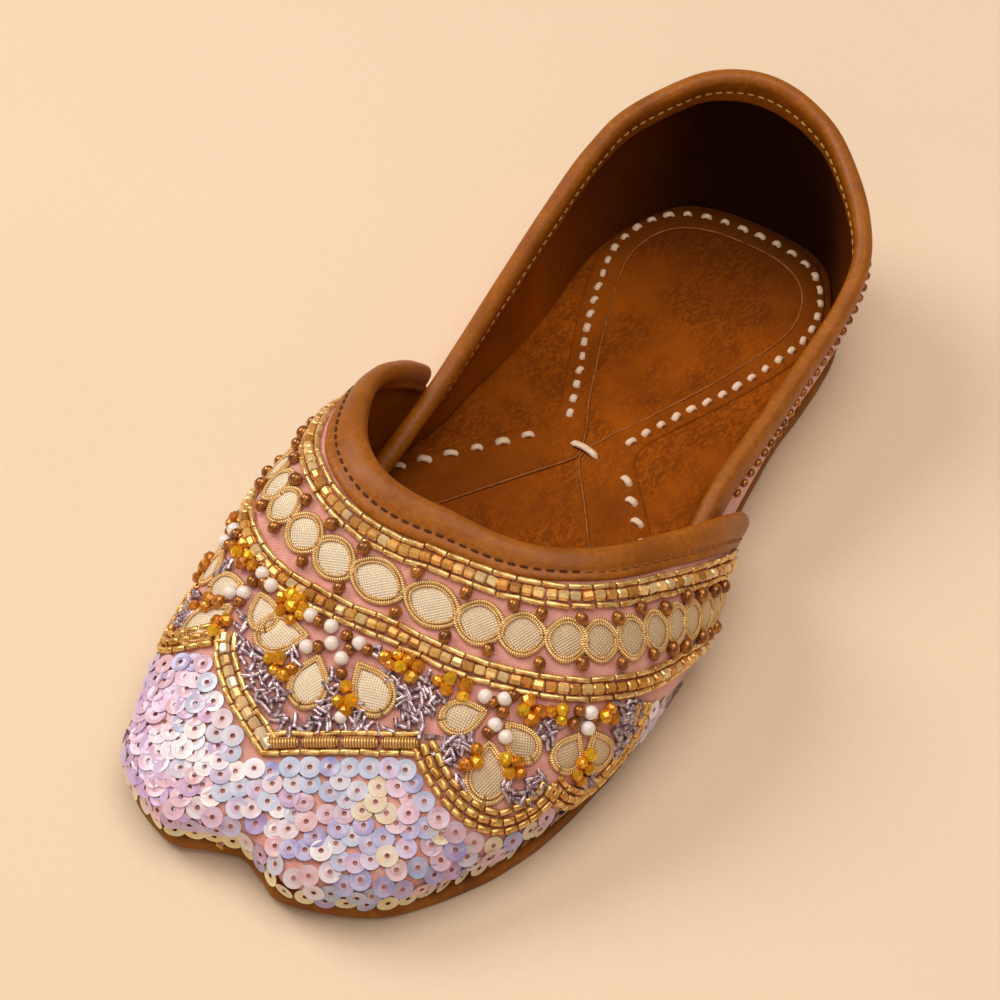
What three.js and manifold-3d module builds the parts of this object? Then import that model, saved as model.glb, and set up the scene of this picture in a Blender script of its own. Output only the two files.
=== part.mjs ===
// Slip-on embroidered leather shoe (mojari), left foot.
// Millimetres, +Z up, toe towards -Y, the sole rests on z = 0.
// Outsole, insole, one hollow upper (vamp with ears over a heel quarter) and two folded edge bindings.
import * as THREE from 'three';
import Module from 'manifold-3d';

const wasm = await Module();
wasm.setup();

// ---------------------------------------------------------------- driving sizes
const LENGTH = 240;          // toe lobes to back of heel, on the sole
const SOLE_THICK = 4.2;      // outsole leather
const SOLE_EDGE = 0.6;       // worn round on the outsole edge
const TOE_SPRING = 2.0;      // lift of the sole at the toe tip
const TOE_SPRING_RUN = 0.13; // share of the length that lifts
const ARCH_LIFT = 1.2;       // lift of the sole under the waist
const ARCH_AT = 0.57;        // station of the arch
const ARCH_REACH = 0.16;     // half length of the arch, share of the length
const GAP = 0.3;             // clearance between neighbouring pieces
const WALL = 2.0;            // upper: cloth, paste board and lining together
const INSOLE_THICK = 2.2;
const TOE_NOTCH = 4.9;       // depth of the notch between the toe lobes
const TOE_LOBE = 14.8;       // half distance between the lobe tips
const INFLARE = 12.9;        // swing of the toe to the inner side of the foot
const INFLARE_RUN = 0.62;    // share of the length that swings
const TOE_PEAK_BACK = 22;    // toe ribs meet this far behind the feather line
const RIB_BULGE = 11.7;      // outward pull of the vamp ribs
const EAR_FLARE = 4.0;       // more of the same at the ears, which clear the collar
const RIB_RISE = 0.69;       // height share of that pull
const RIB_CROWN = 0.75;      // width share of the flat top of the ribs
const QUARTER_FRONT = 0.43;  // station where the quarter starts under the vamp
const QUARTER_BELLY = 2.6;   // roundness of the quarter wall
const SEAM_BITE = 0.7;       // quarter pressed into the vamp wall at the side seam
const SEAM_END = [0.525, 0.60];
const BINDING_THICK = 1.0;
const THROAT_FLAPS = { outside: 5.5, inside: 4.0 };
const COLLAR_FLAPS = { outside: 4.0, inside: 6.5 };

// sole outline: station from the toe, half width, how far the upper is set in from the sole edge
const PLAN = [
  { at: 0.03, half: 30.4, ledge: 3.0 },
  { at: 0.08, half: 38.8, ledge: 3.7 },
  { at: 0.16, half: 46.2, ledge: 3.6 },
  { at: 0.28, half: 48.8, ledge: 2.0 },
  { at: 0.42, half: 46.2, ledge: 0.8 },
  { at: 0.55, half: 39.0, ledge: 1.0 },
  { at: 0.70, half: 35.4, ledge: 1.0 },
  { at: 0.85, half: 35.6, ledge: 1.0 },
  { at: 0.95, half: 27.6, ledge: 1.0 },
];
// instep line of the vamp: station, height over the floor
const INSTEP = [
  { at: 0.00, high: 8 },
  { at: 0.12, high: 24.8 },
  { at: 0.22, high: 37.2 },
  { at: 0.32, high: 51.8 },
  { at: 0.45, high: 56.6 },
  { at: 0.70, high: 60.6 },
];
// throat edge: station of the rib, share of the rib that is kept
const THROAT = [
  { at: 0.300, keep: 1.00 },
  { at: 0.312, keep: 0.82 },
  { at: 0.350, keep: 0.67 },
  { at: 0.412, keep: 0.525 },
  { at: 0.464, keep: 0.398 },
  { at: 0.508, keep: 0.270 },
  { at: 0.547, keep: 0.150 },
];
// collar of the quarter: station, outward lean from the sole edge, height over the floor
const COLLAR = [
  { at: 0.43, lean: -6.9, high: 15 },
  { at: 0.50, lean: -5.4, high: 23 },
  { at: 0.56, lean: -2.8, high: 27.2 },
  { at: 0.64, lean: 1.0, high: 29.5 },
  { at: 0.73, lean: 2.8, high: 33.3 },
  { at: 0.84, lean: 1.8, high: 40.8 },
  { at: 0.89, lean: 1.4, high: 44.2 },
  { at: 0.94, lean: 0.4, high: 47.2 },
  { at: 1.00, lean: 0, high: 50.2 },
];
// plan of the collar round the back of the heel, rounder than the heel seat: half width, distance from the toe
const HEEL_ROUND = [[23.0, 227.4], [12.1, 236.4], [0, 239.7]];
// the back of the quarter leans to the inner side of the foot: station, shift at full height
const BACK_LEAN = [
  { at: 0.60, shift: 0 },
  { at: 0.70, shift: 0.15 },
  { at: 0.79, shift: 0.75 },
  { at: 0.84, shift: 0.5 },
  { at: 0.885, shift: -1.0 },
  { at: 0.93, shift: -2.4 },
  { at: 0.965, shift: -3.7 },
  { at: 1.00, shift: -5.6 },
];
// the vamp swells to the outer side at half height: station, shift
const VAMP_SWELL = [
  { at: 0.00, shift: 0.8 },
  { at: 0.12, shift: 1.4 },
  { at: 0.28, shift: 1.8 },
  { at: 0.42, shift: 1.75 },
  { at: 0.50, shift: 0.6 },
  { at: 0.56, shift: 0 },
];

// ---------------------------------------------------------------- small helpers
const clamp = (x, a, b) => Math.min(b, Math.max(a, x));
const ease = (a, b, x) => { const u = clamp((x - a) / (b - a), 0, 1); return u * u * (3 - 2 * u); };
const V = (x, y, z) => new THREE.Vector3(x, y, z);

// monotone cubic through the rows of a table
function curve(rows, from, to) {
  const n = rows.length, x = rows.map(r => r[from]), y = rows.map(r => r[to]);
  const h = [], d = [], m = [];
  for (let i = 0; i < n - 1; i++) { h.push(x[i + 1] - x[i]); d.push((y[i + 1] - y[i]) / h[i]); }
  for (let i = 1; i < n - 1; i++) {
    const w1 = 2 * h[i] + h[i - 1], w2 = h[i] + 2 * h[i - 1];
    m[i] = d[i - 1] * d[i] <= 0 ? 0 : (w1 + w2) / (w1 / d[i - 1] + w2 / d[i]);
  }
  const end = (h0, h1, d0, d1) => {
    let s = ((2 * h0 + h1) * d0 - h0 * d1) / (h0 + h1);
    if (s * d0 <= 0) s = 0; else if (d0 * d1 <= 0 && Math.abs(s) > 3 * Math.abs(d0)) s = 3 * d0;
    return s;
  };
  m[0] = end(h[0], h[1], d[0], d[1]);
  m[n - 1] = end(h[n - 2], h[n - 3], d[n - 2], d[n - 3]);
  return q => {
    let i = 0;
    while (i < n - 2 && q > x[i + 1]) i++;
    const s = (q - x[i]) / h[i], s2 = s * s, s3 = s2 * s;
    return (2 * s3 - 3 * s2 + 1) * y[i] + (s3 - 2 * s2 + s) * h[i] * m[i] + (3 * s2 - 2 * s3) * y[i + 1] + (s3 - s2) * h[i] * m[i + 1];
  };
}

// smooth curve through control points, one unit of k per control point
function through(pts) {
  const n = pts.length;
  return k => {
    const i = clamp(Math.floor(k), 1, n - 3), t = k - i;
    const [a, b, c, d] = [pts[i - 1], pts[i], pts[i + 1], pts[i + 2]];
    return a.map((_, e) => 0.5 * (2 * b[e] + (c[e] - a[e]) * t + (2 * a[e] - 5 * b[e] + 4 * c[e] - d[e]) * t * t + (3 * b[e] - a[e] - 3 * c[e] + d[e]) * t * t * t));
  };
}

// ---------------------------------------------------------------- the last
// One half is worked out straight; y runs from the toe, x >= 0. swing() then bends it.
const instep = curve(INSTEP, 'at', 'high');
const lean = curve(COLLAR, 'at', 'lean');
const collarHigh = curve(COLLAR, 'at', 'high');

const lift = y => {
  const t = y / LENGTH, s = clamp(1 - t / TOE_SPRING_RUN, 0, 1), a = (t - ARCH_AT) / ARCH_REACH;
  return TOE_SPRING * s * s + (Math.abs(a) < 1 ? ARCH_LIFT * (1 - a * a) ** 2 : 0);
};
const feet = y => SOLE_THICK + GAP + lift(y);
const backAt = curve(BACK_LEAN, 'at', 'shift'), swellAt = curve(VAMP_SWELL, 'at', 'shift');
const flare = (y, z) => backAt(clamp(y / LENGTH, 0.60, 1)) * ease(2, 46, z) + swellAt(clamp(y / LENGTH, 0, 0.56)) * ease(7, 14, z) * (1 - ease(22, 44, z));
const swing = y => { const u = clamp(1 - y / (INFLARE_RUN * LENGTH), 0, 2); return -INFLARE * u * u; };

const lastHalf = PLAN[PLAN.length - 1].half;
const rim = [
  [-TOE_LOBE * 0.45, TOE_NOTCH * 0.5], [0, TOE_NOTCH], [TOE_LOBE * 0.45, TOE_NOTCH * 0.5], [TOE_LOBE, 0],
  ...PLAN.map(r => [r.half, r.at * LENGTH]),
  [lastHalf * 0.62, 0.990 * LENGTH], [0, LENGTH], [-lastHalf * 0.62, 0.990 * LENGTH],
];
const edge = through(rim);
const collarEdge = through([...rim.slice(0, -4), ...HEEL_ROUND, [-HEEL_ROUND[1][0], HEEL_ROUND[1][1]]]);
const K0 = 1, K1 = rim.length - 2;
// outline set in by a distance that may change along the foot
function outline(k, inset, line = edge) {
  const p = line(k), a = line(clamp(k - 0.02, K0, K1)), b = line(clamp(k + 0.02, K0, K1));
  let tx = b[0] - a[0], ty = b[1] - a[1];
  if (k <= K0 || k >= K1) ty = 0;
  const l = Math.hypot(tx, ty), d = inset(p[1] / LENGTH);
  return [p[0] - ty / l * d, p[1] + tx / l * d];
}
const ledgeAt = curve(PLAN, 'at', 'ledge');
const ledge = t => ledgeAt(clamp(t, PLAN[0].at, PLAN[PLAN.length - 1].at));
const seam = t => (WALL - SEAM_BITE) * (1 - ease(SEAM_END[0], SEAM_END[1], t));
const quarterFoot = t => ledge(t) + seam(t);

// vamp rib k from the feather line (v = 0) to the instep line (v = 1)
const toeBase = outline(K0, ledge);
function rib(k) {
  const [bx, by] = outline(k, ledge), run = Math.max(0, by - toeBase[1]);
  const sy = toeBase[1] + Math.hypot(TOE_PEAK_BACK, run), sz = instep(sy / LENGTH), bz = feet(by);
  const dx = bx, dy = by - sy, dl = Math.hypot(dx, dy) || 1;
  const slope = (instep((sy + 1) / LENGTH) - instep((sy - 1) / LENGTH)) / 2;
  const b = [bx, by, bz];
  const out = RIB_BULGE + EAR_FLARE * ease(0.49, 0.55, sy / LENGTH);
  const p = [bx + dx / dl * out, by + dy / dl * out, bz + RIB_RISE * (sz - bz)];
  const q = [RIB_CROWN * dx, sy + RIB_CROWN * dy, sz + RIB_CROWN * dy * slope];
  const s = [0, sy, sz];
  return { t: sy / LENGTH, at: v => b.map((_, e) => (1 - v) ** 3 * b[e] + 3 * (1 - v) ** 2 * v * p[e] + 3 * (1 - v) * v * v * q[e] + v ** 3 * s[e]) };
}
const ribT = k => rib(k).t;
function ribAt(t) {
  let a = K0 + 2, b = K0 + 8;
  for (let i = 0; i < 40; i++) { const c = (a + b) / 2; if (ribT(c) < t) a = c; else b = c; }
  return (a + b) / 2;
}
const vamp = (k, v) => V(...rib(k).at(v));

// quarter wall: k along the outline, w from the foot (0) to the collar (1)
function quarter(k, w) {
  const b = outline(k, quarterFoot), t = edge(k)[1] / LENGTH, c = outline(k, u => -lean(clamp(u, QUARTER_FRONT, 1)), collarEdge);
  const bz = feet(b[1]) + 0.1, cz = collarHigh(clamp(t, QUARTER_FRONT, 1));
  const nx = c[0] - b[0], ny = c[1] - b[1];
  const o = outline(k, () => -1), e = edge(k), belly = QUARTER_BELLY * 2 * w * (1 - w);
  return V(b[0] + nx * w + (o[0] - e[0]) * belly, b[1] + ny * w + (o[1] - e[1]) * belly, bz + (cz - bz) * w);
}

function normal(f, a, b, ha, hb) {
  const da = f(a + ha, b).sub(f(a - ha, b)), db = f(a, b + hb).sub(f(a, b - hb));
  return da.cross(db).normalize();
}
const vampNormal = (k, v) => {
  const n = normal(vamp, clamp(k, K0 + 0.01, K1), clamp(v, 0.02, 0.98), 0.01, 0.01);
  if (k <= K0 + 1e-6 || v >= 1 - 1e-6) n.x = 0;
  return n.normalize();
};
const quarterNormal = (k, w) => {
  const n = normal(quarter, clamp(k, K0 + 2, K1 - 0.01), clamp(w, 0.02, 0.98), 0.01, 0.01);
  if (k >= K1 - 1e-6) n.x = 0;
  return n.normalize();
};

// ---------------------------------------------------------------- closed skins
class Skin {
  constructor() { this.tris = []; }
  tri(a, b, c) { this.tris.push([a, b, c]); }
  quad(a, b, c, d) { this.tri(a, b, c); this.tri(a, c, d); }
  sheet(g, flip = false) {
    for (let i = 0; i + 1 < g.length; i++) for (let j = 0; j + 1 < g[i].length; j++)
      flip ? this.quad(g[i][j], g[i][j + 1], g[i + 1][j + 1], g[i + 1][j]) : this.quad(g[i][j], g[i + 1][j], g[i + 1][j + 1], g[i][j + 1]);
  }
  // half and its mirror, swung and welded
  geometry() {
    const pos = [], idx = [], seen = new Map();
    const id = (p, m) => {
      const x = Math.abs(p.x) < 1e-4 ? 0 : p.x * m, key = [x, p.y, p.z].map(e => Math.round(e * 1e4)).join();
      if (!seen.has(key)) { seen.set(key, pos.length / 3); pos.push(x + swing(p.y) + flare(p.y, p.z), p.y - LENGTH / 2, p.z); }
      return seen.get(key);
    };
    for (const m of [1, -1]) for (const [a, b, c] of this.tris) {
      const t = [id(a, m), id(b, m), id(c, m)];
      if (t[0] === t[1] || t[1] === t[2] || t[0] === t[2]) continue;
      m > 0 ? idx.push(...t) : idx.push(t[0], t[2], t[1]);
    }
    const g = new THREE.BufferGeometry();
    g.setAttribute('position', new THREE.Float32BufferAttribute(pos, 3));
    g.setIndex(idx);
    return g;
  }
}
const spread = (a, b, n) => Array.from({ length: n + 1 }, (_, i) => a + (b - a) * i / n);
function samples(stops) {           // [k, steps to the next stop]
  const out = [];
  stops.forEach(([k, n], i) => { if (i + 1 < stops.length) for (let s = 0; s < n; s++) out.push(k + (stops[i + 1][0] - k) * s / n); else out.push(k); });
  return out;
}

// flat plates (outsole, insole): rings from the foot's middle line out to the outline
function plate(ks, inset, under, thick, round) {
  const skin = new Skin(), rings = [0, 0.45, 0.8, 1];
  const spineY = y => clamp(y, 0.16 * LENGTH, 0.87 * LENGTH);
  const point = (k, f, z, more) => {
    const [x, y] = outline(k, t => inset(t) + more), my = spineY(y);
    const px = x * f, py = my + (y - my) * f;
    return V(px, py, lift(py) + z);
  };
  const bottom = ks.map(k => rings.map(f => point(k, f, under, round)));
  const top = ks.map(k => rings.map(f => point(k, f, under + thick, round * 0.8)));
  const wall = ks.map((k, i) => [bottom[i][3], point(k, 1, under + round, 0), point(k, 1, under + thick - round, 0), top[i][3]]);
  skin.sheet(bottom);
  skin.sheet(top, true);
  skin.sheet(wall);
  return skin.geometry();
}
function orient(g) {                // outward facing
  const p = g.attributes.position, ix = g.index.array;
  let vol = 0;
  const a = V(), b = V(), c = V();
  for (let i = 0; i < ix.length; i += 3) {
    a.fromBufferAttribute(p, ix[i]); b.fromBufferAttribute(p, ix[i + 1]); c.fromBufferAttribute(p, ix[i + 2]);
    vol += a.dot(b.cross(c));
  }
  if (vol < 0) for (let i = 0; i < ix.length; i += 3) { const s = ix[i + 1]; ix[i + 1] = ix[i + 2]; ix[i + 2] = s; }
  return g;
}

const kAround = samples([[1, 3], [2, 3], [3, 3], [4, 3], [5, 3], [6, 3], [7, 3], [8, 3], [9, 3], [10, 3], [11, 3], [12, 4], [13, 4], [14, 0]]);
const outsole = orient(plate(kAround, () => 0, 0, SOLE_THICK, SOLE_EDGE));
const insoleInset = t => ledge(t) + WALL + GAP + 0.1 + Math.max(0, seam(t)) * ease(QUARTER_FRONT - 0.06, QUARTER_FRONT - 0.01, t);
const insole = orient(plate(kAround, insoleInset, SOLE_THICK + GAP, INSOLE_THICK, 0.3));

// ---------------------------------------------------------------- vamp
const throatPts = THROAT.map(r => [r.at, r.keep]);
const U_END = throatPts.length - 1;
const throatCurve = through([[throatPts[1][0], 2 - throatPts[1][1]], ...throatPts, throatPts[U_END].map((e, i) => 2 * e - throatPts[U_END - 1][i])]);
const throatAt = u => { const [t, v] = throatCurve(1 + u); return { k: ribAt(t), v: Math.min(1, v) }; };
const kThroat = ribAt(THROAT[0].at);
const throatSteps = [...spread(0, 1, 4), ...spread(1, U_END, 14).slice(1)];
const vampRibs = [
  ...samples([[1, 3], [2, 3], [3, 3], [4, 3], [5, 3], [6, 4], [kThroat, 0]]).slice(0, -1).map(k => ({ k, v: 1 })),
  ...throatSteps.map(throatAt),
];
vampRibs.find(r => r.k >= kThroat - 1e-6).v = 1;
const VAMP_ROWS = 11;
function shell(face, norm, stations, rows, top, closedTop, foot) {
  const outer = [], inner = [];
  for (const s of stations) {
    const o = [], n = [];
    for (let j = 0; j <= rows; j++) {
      const v = top(s) * j / rows, p = face(s.k, v), m = norm(s.k, v);
      o.push(p);
      if (j === 0) { m.z = 0; m.normalize(); }
      n.push(p.clone().addScaledVector(m, -WALL));
    }
    outer.push(o); inner.push(n);
  }
  const skin = new Skin();
  skin.sheet(outer);
  skin.sheet(inner, true);
  for (let i = 0; i + 1 < stations.length; i++) {
    skin.quad(outer[i][0], inner[i][0], inner[i + 1][0], outer[i + 1][0]);
    if (!(closedTop(stations[i]) && closedTop(stations[i + 1])))
      skin.quad(outer[i][rows], outer[i + 1][rows], inner[i + 1][rows], inner[i][rows]);
  }
  const lastOne = foot === 'front' ? 0 : stations.length - 1;
  for (let j = 0; j < rows; j++)
    foot === 'front'
      ? skin.quad(outer[lastOne][j], outer[lastOne][j + 1], inner[lastOne][j + 1], inner[lastOne][j])
      : skin.quad(outer[lastOne][j], inner[lastOne][j], inner[lastOne][j + 1], outer[lastOne][j + 1]);
  return orient(skin.geometry());
}
const vampSkin = shell(vamp, vampNormal, vampRibs, VAMP_ROWS, s => s.v, s => s.k <= kThroat + 1e-6, 'back');

// ---------------------------------------------------------------- quarter
const kFront = (() => { let a = 4, b = 12; for (let i = 0; i < 40; i++) { const c = (a + b) / 2; if (edge(c)[1] < QUARTER_FRONT * LENGTH) a = c; else b = c; } return (a + b) / 2; })();
const quarterKs = samples([[kFront, 4], [9, 5], [10, 4], [11, 5], [12, 5], [13, 5], [14, 0]]);
const QUARTER_ROWS = 7;
const quarterSkin = shell(quarter, quarterNormal, quarterKs.map(k => ({ k })), QUARTER_ROWS, () => 1, () => false, 'front');

function solid(g) {
  return new wasm.Manifold(new wasm.Mesh({ numProp: 3, vertProperties: new Float32Array(g.attributes.position.array), triVerts: new Uint32Array(g.index.array) }));
}
function faceted(m) {
  const q = m.getMesh(), g = new THREE.BufferGeometry();
  g.setAttribute('position', new THREE.Float32BufferAttribute(q.vertProperties, 3));
  g.setIndex(Array.from(q.triVerts));
  return g;
}
const upper = faceted(solid(vampSkin).add(solid(quarterSkin)));

// ---------------------------------------------------------------- folded edge bindings
// walk over a surface from (a, b) by a distance along a direction
function walk(f, a, b, dir, dist) {
  const steps = Math.max(1, Math.ceil(Math.abs(dist) / 0.8)), h = dist / steps;
  let d = dir.clone();
  for (let i = 0; i < steps; i++) {
    const fa = f(a + 0.005, b).sub(f(a - 0.005, b)).divideScalar(0.01), fb = f(a, b + 0.005).sub(f(a, b - 0.005)).divideScalar(0.01);
    const aa = fa.dot(fa), ab = fa.dot(fb), bb = fb.dot(fb), ra = d.dot(fa) * h, rb = d.dot(fb) * h, det = aa * bb - ab * ab;
    const na = a + (ra * bb - rb * ab) / det, nb = b + (rb * aa - ra * ab) / det;
    d = f(na, nb).sub(f(a, b)).normalize();
    if (h < 0) d.negate();
    a = na; b = nb;
  }
  return [a, b];
}
// folded strip over an edge: flaps follow the wall outside and inside
function binding(f, norm, stations, flaps, centre, ends) {
  const lo = GAP, hi = GAP + BINDING_THICK, half = WALL / 2;
  const secs = stations.map((s, i) => {
    const p = f(s.k, s.v), q = stations[Math.max(0, i - 1)], r = stations[Math.min(stations.length - 1, i + 1)];
    const tan = f(r.k, r.v).sub(f(q.k, q.v)).normalize();
    if (i === centre) { tan.set(1, 0, 0); }
    const n = norm(s.k, s.v), up = n.clone().cross(tan).normalize();
    if (up.z < 0) up.negate();
    const wallPoint = (dist, off) => {
      const [a, b] = dist > 0 ? walk(f, s.k, s.v, up, -dist) : [s.k, s.v];
      const m = norm(a, b), w = f(a, b).addScaledVector(m, off);
      if (i === centre) w.x = 0;
      return w;
    };
    const roll = (rad, ang) => p.clone().addScaledVector(n, -half + rad * Math.cos(ang)).addScaledVector(up, 0.35 + rad * Math.sin(ang));
    const { outside: o, inside: u } = flaps, R = half + hi, r0 = half + lo;
    const ring = [
      wallPoint(o, lo), wallPoint(o, hi * 0.85), wallPoint(o * 0.5, hi),
      ...[0.12, 0.3, 0.5, 0.7, 0.88].map(a => roll(R, a * Math.PI)),
      wallPoint(u * 0.5, -WALL - hi), wallPoint(u, -WALL - hi * 0.85), wallPoint(u, -WALL - lo), wallPoint(u * 0.5, -WALL - lo),
      ...[0.85, 0.5, 0.15].map(a => roll(r0, a * Math.PI)),
      wallPoint(o * 0.5, lo),
    ];
    if (i === centre) ring.forEach(w => { w.x = 0; });
    return ring;
  });
  const skin = new Skin(), m = secs[0].length;
  for (let i = 0; i + 1 < secs.length; i++) for (let j = 0; j < m; j++) {
    const l = (j + 1) % m;
    skin.quad(secs[i][j], secs[i + 1][j], secs[i + 1][l], secs[i][l]);
  }
  const cap = (s, flip) => {
    const pairs = [[0, 1, 2, 15], [15, 2, 3, 14], [14, 3, 4, 13], [4, 5, 13], [13, 5, 6, 12], [12, 6, 7], [12, 7, 8, 11], [11, 8, 9, 10]];
    for (const c of pairs) {
      const q = c.map(e => s[e]);
      if (flip) q.reverse();
      q.length === 3 ? skin.tri(...q) : skin.quad(...q);
    }
  };
  ends(cap, secs);
  return orient(skin.geometry());
}
const throatStations = [...spread(0, 1, 5), ...spread(1, U_END - 0.07, 18).slice(1)].map(u => throatAt(u));
throatStations[0].v = 1;
const throatBinding = binding(vamp, vampNormal, throatStations, THROAT_FLAPS, 0, (cap, s) => cap(s[s.length - 1], true));
const collarStations = quarterKs.map(k => ({ k, v: 1 }));
const collarBinding = binding(quarter, quarterNormal, collarStations, COLLAR_FLAPS, collarStations.length - 1, (cap, s) => cap(s[0], false));

// ---------------------------------------------------------------- the assembly
const PIECES = [
  ['outsole', outsole, 0xa8672f, 0.6],
  ['insole', insole, 0x86481f, 0.75],
  ['upper', upper, 0xd59a86, 0.7],
  ['throat_binding', throatBinding, 0xb8742f, 0.5],
  ['collar_binding', collarBinding, 0xb8742f, 0.5],
];
const shoe = new THREE.Group();
shoe.name = 'mojari_shoe';
const box = new THREE.Box3();
for (const [, g] of PIECES) { g.computeBoundingBox(); box.union(g.boundingBox); }
const mid = box.getCenter(V());
for (const [name, g, color, roughness] of PIECES) {
  g.translate(-mid.x, -mid.y, -box.min.z);
  g.computeVertexNormals();
  const mesh = new THREE.Mesh(g, new THREE.MeshStandardMaterial({ color, roughness, metalness: 0 }));
  mesh.name = name;
  shoe.add(mesh);
}
export default shoe;
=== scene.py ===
import math
import bpy
import numpy as np
from mathutils import Matrix, Vector
from mathutils.bvhtree import BVHTree


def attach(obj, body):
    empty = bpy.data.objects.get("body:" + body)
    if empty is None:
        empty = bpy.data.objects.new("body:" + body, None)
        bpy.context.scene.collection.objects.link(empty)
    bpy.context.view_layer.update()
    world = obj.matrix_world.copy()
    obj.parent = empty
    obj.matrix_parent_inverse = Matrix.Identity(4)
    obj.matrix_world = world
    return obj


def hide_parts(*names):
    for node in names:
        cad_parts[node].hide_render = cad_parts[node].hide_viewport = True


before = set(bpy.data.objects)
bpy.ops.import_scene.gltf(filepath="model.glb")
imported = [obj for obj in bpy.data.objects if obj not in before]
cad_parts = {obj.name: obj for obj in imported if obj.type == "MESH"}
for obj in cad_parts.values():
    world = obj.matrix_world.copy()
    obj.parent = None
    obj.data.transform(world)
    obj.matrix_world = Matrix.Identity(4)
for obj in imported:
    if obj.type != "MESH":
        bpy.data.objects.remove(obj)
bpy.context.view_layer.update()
RNG = np.random.default_rng(7)
MM = 0.001

# ---------------------------------------------------------------- the shoe's own form, millimetres
LENGTH = 240.0
SOLE_THICK, GAP, WALL, INSOLE_THICK = 4.2, 0.3, 2.0, 2.2
TOE_SPRING, TOE_SPRING_RUN, ARCH_LIFT, ARCH_AT, ARCH_REACH = 2.0, 0.13, 1.2, 0.57, 0.16
TOE_NOTCH, TOE_LOBE, INFLARE, INFLARE_RUN = 4.9, 14.8, 12.9, 0.62
TOE_PEAK_BACK, RIB_BULGE, RIB_RISE, RIB_CROWN, EAR_FLARE = 22.0, 11.7, 0.69, 0.75, 4.0
QUARTER_FRONT, QUARTER_BELLY, SEAM_BITE, SEAM_END = 0.43, 2.6, 0.7, (0.525, 0.60)
PLAN = np.array([(0.03, 30.4, 3.0), (0.08, 38.8, 3.7), (0.16, 46.2, 3.6), (0.28, 48.8, 2.0), (0.42, 46.2, 0.8),
                 (0.55, 39.0, 1.0), (0.70, 35.4, 1.0), (0.85, 35.6, 1.0), (0.95, 27.6, 1.0)])          # station, half, ledge
INSTEP = np.array([(0.00, 8), (0.12, 24.8), (0.22, 37.2), (0.32, 51.8), (0.45, 56.6), (0.70, 60.6)])   # station, height
THROAT = np.array([(0.300, 1.00), (0.312, 0.82), (0.350, 0.67), (0.412, 0.525), (0.464, 0.398), (0.508, 0.270), (0.547, 0.150)])
COLLAR = np.array([(0.43, -6.9, 15), (0.50, -5.4, 23), (0.56, -2.8, 27.2), (0.64, 1.0, 29.5), (0.73, 2.8, 33.3), (0.84, 1.8, 40.8),
                   (0.89, 1.4, 44.2), (0.94, 0.4, 47.2), (1.00, 0.0, 50.2)])                            # station, lean, height
HEEL_ROUND = [(23.0, 227.4), (12.1, 236.4), (0, 239.7), (-12.1, 236.4)]                                # collar's plan at the back
BACK_LEAN = np.array([(0.60, 0), (0.70, 0.15), (0.79, 0.75), (0.84, 0.5), (0.885, -1.0), (0.93, -2.4), (0.965, -3.7), (1.0, -5.6)])
VAMP_SWELL = np.array([(0.00, 0.8), (0.12, 1.4), (0.28, 1.8), (0.42, 1.75), (0.50, 0.6), (0.56, 0)])     # station, shift to the outer side


def ease(a, b, x):
    u = np.clip((np.asarray(x, float) - a) / (b - a), 0, 1)
    return u * u * (3 - 2 * u)


def curve(x, y):
    """Monotone cubic through table columns."""
    x, y = np.asarray(x, float), np.asarray(y, float)
    h, n = np.diff(x), len(x)
    d = np.diff(y) / h
    m = np.zeros(n)
    for i in range(1, n - 1):
        if d[i - 1] * d[i] > 0:
            w1, w2 = 2 * h[i] + h[i - 1], h[i] + 2 * h[i - 1]
            m[i] = (w1 + w2) / (w1 / d[i - 1] + w2 / d[i])

    def end(h0, h1, d0, d1):
        s = ((2 * h0 + h1) * d0 - h0 * d1) / (h0 + h1)
        if s * d0 <= 0:
            return 0.0
        return 3 * d0 if d0 * d1 <= 0 and abs(s) > 3 * abs(d0) else s

    m[0], m[-1] = end(h[0], h[1], d[0], d[1]), end(h[-1], h[-2], d[-1], d[-2])

    def at(q):
        q = np.asarray(q, float)
        i = np.clip(np.searchsorted(x, q) - 1, 0, n - 2)
        s = (q - x[i]) / h[i]
        return (2 * s**3 - 3 * s**2 + 1) * y[i] + (s**3 - 2 * s**2 + s) * h[i] * m[i] + (3 * s**2 - 2 * s**3) * y[i + 1] + (s**3 - s**2) * h[i] * m[i + 1]

    return at


def through(pts):
    """Smooth curve through control points, one unit of k per point."""
    P = np.asarray(pts, float)

    def at(k):
        k = np.asarray(k, float)
        i = np.clip(np.floor(k).astype(int), 1, len(P) - 3)
        t = (k - i)[..., None]
        a, b, c, d = P[i - 1], P[i], P[i + 1], P[i + 2]
        return 0.5 * (2 * b + (c - a) * t + (2 * a - 5 * b + 4 * c - d) * t * t + (3 * b - a - 3 * c + d) * t**3)

    return at


instep = curve(INSTEP[:, 0], INSTEP[:, 1])
lean_at = curve(COLLAR[:, 0], COLLAR[:, 1])
collar_high = curve(COLLAR[:, 0], COLLAR[:, 2])
ledge_at = curve(PLAN[:, 0], PLAN[:, 2])


def lift(y):
    t = np.asarray(y, float) / LENGTH
    s = np.clip(1 - t / TOE_SPRING_RUN, 0, 1)
    a = np.clip(np.abs((t - ARCH_AT) / ARCH_REACH), 0, 1)
    return TOE_SPRING * s * s + ARCH_LIFT * (1 - a * a) ** 2


def feet(y):
    return SOLE_THICK + GAP + lift(y)


def flare(p):
    """The back of the quarter leans to the inner side, the vamp swells to the outer side at half height."""
    t, z = p[..., 1] / LENGTH, p[..., 2]
    return back_at(np.clip(t, 0.60, 1)) * ease(2, 46, z) + swell_at(np.clip(t, 0, 0.56)) * ease(7, 14, z) * (1 - ease(22, 44, z))


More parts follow.
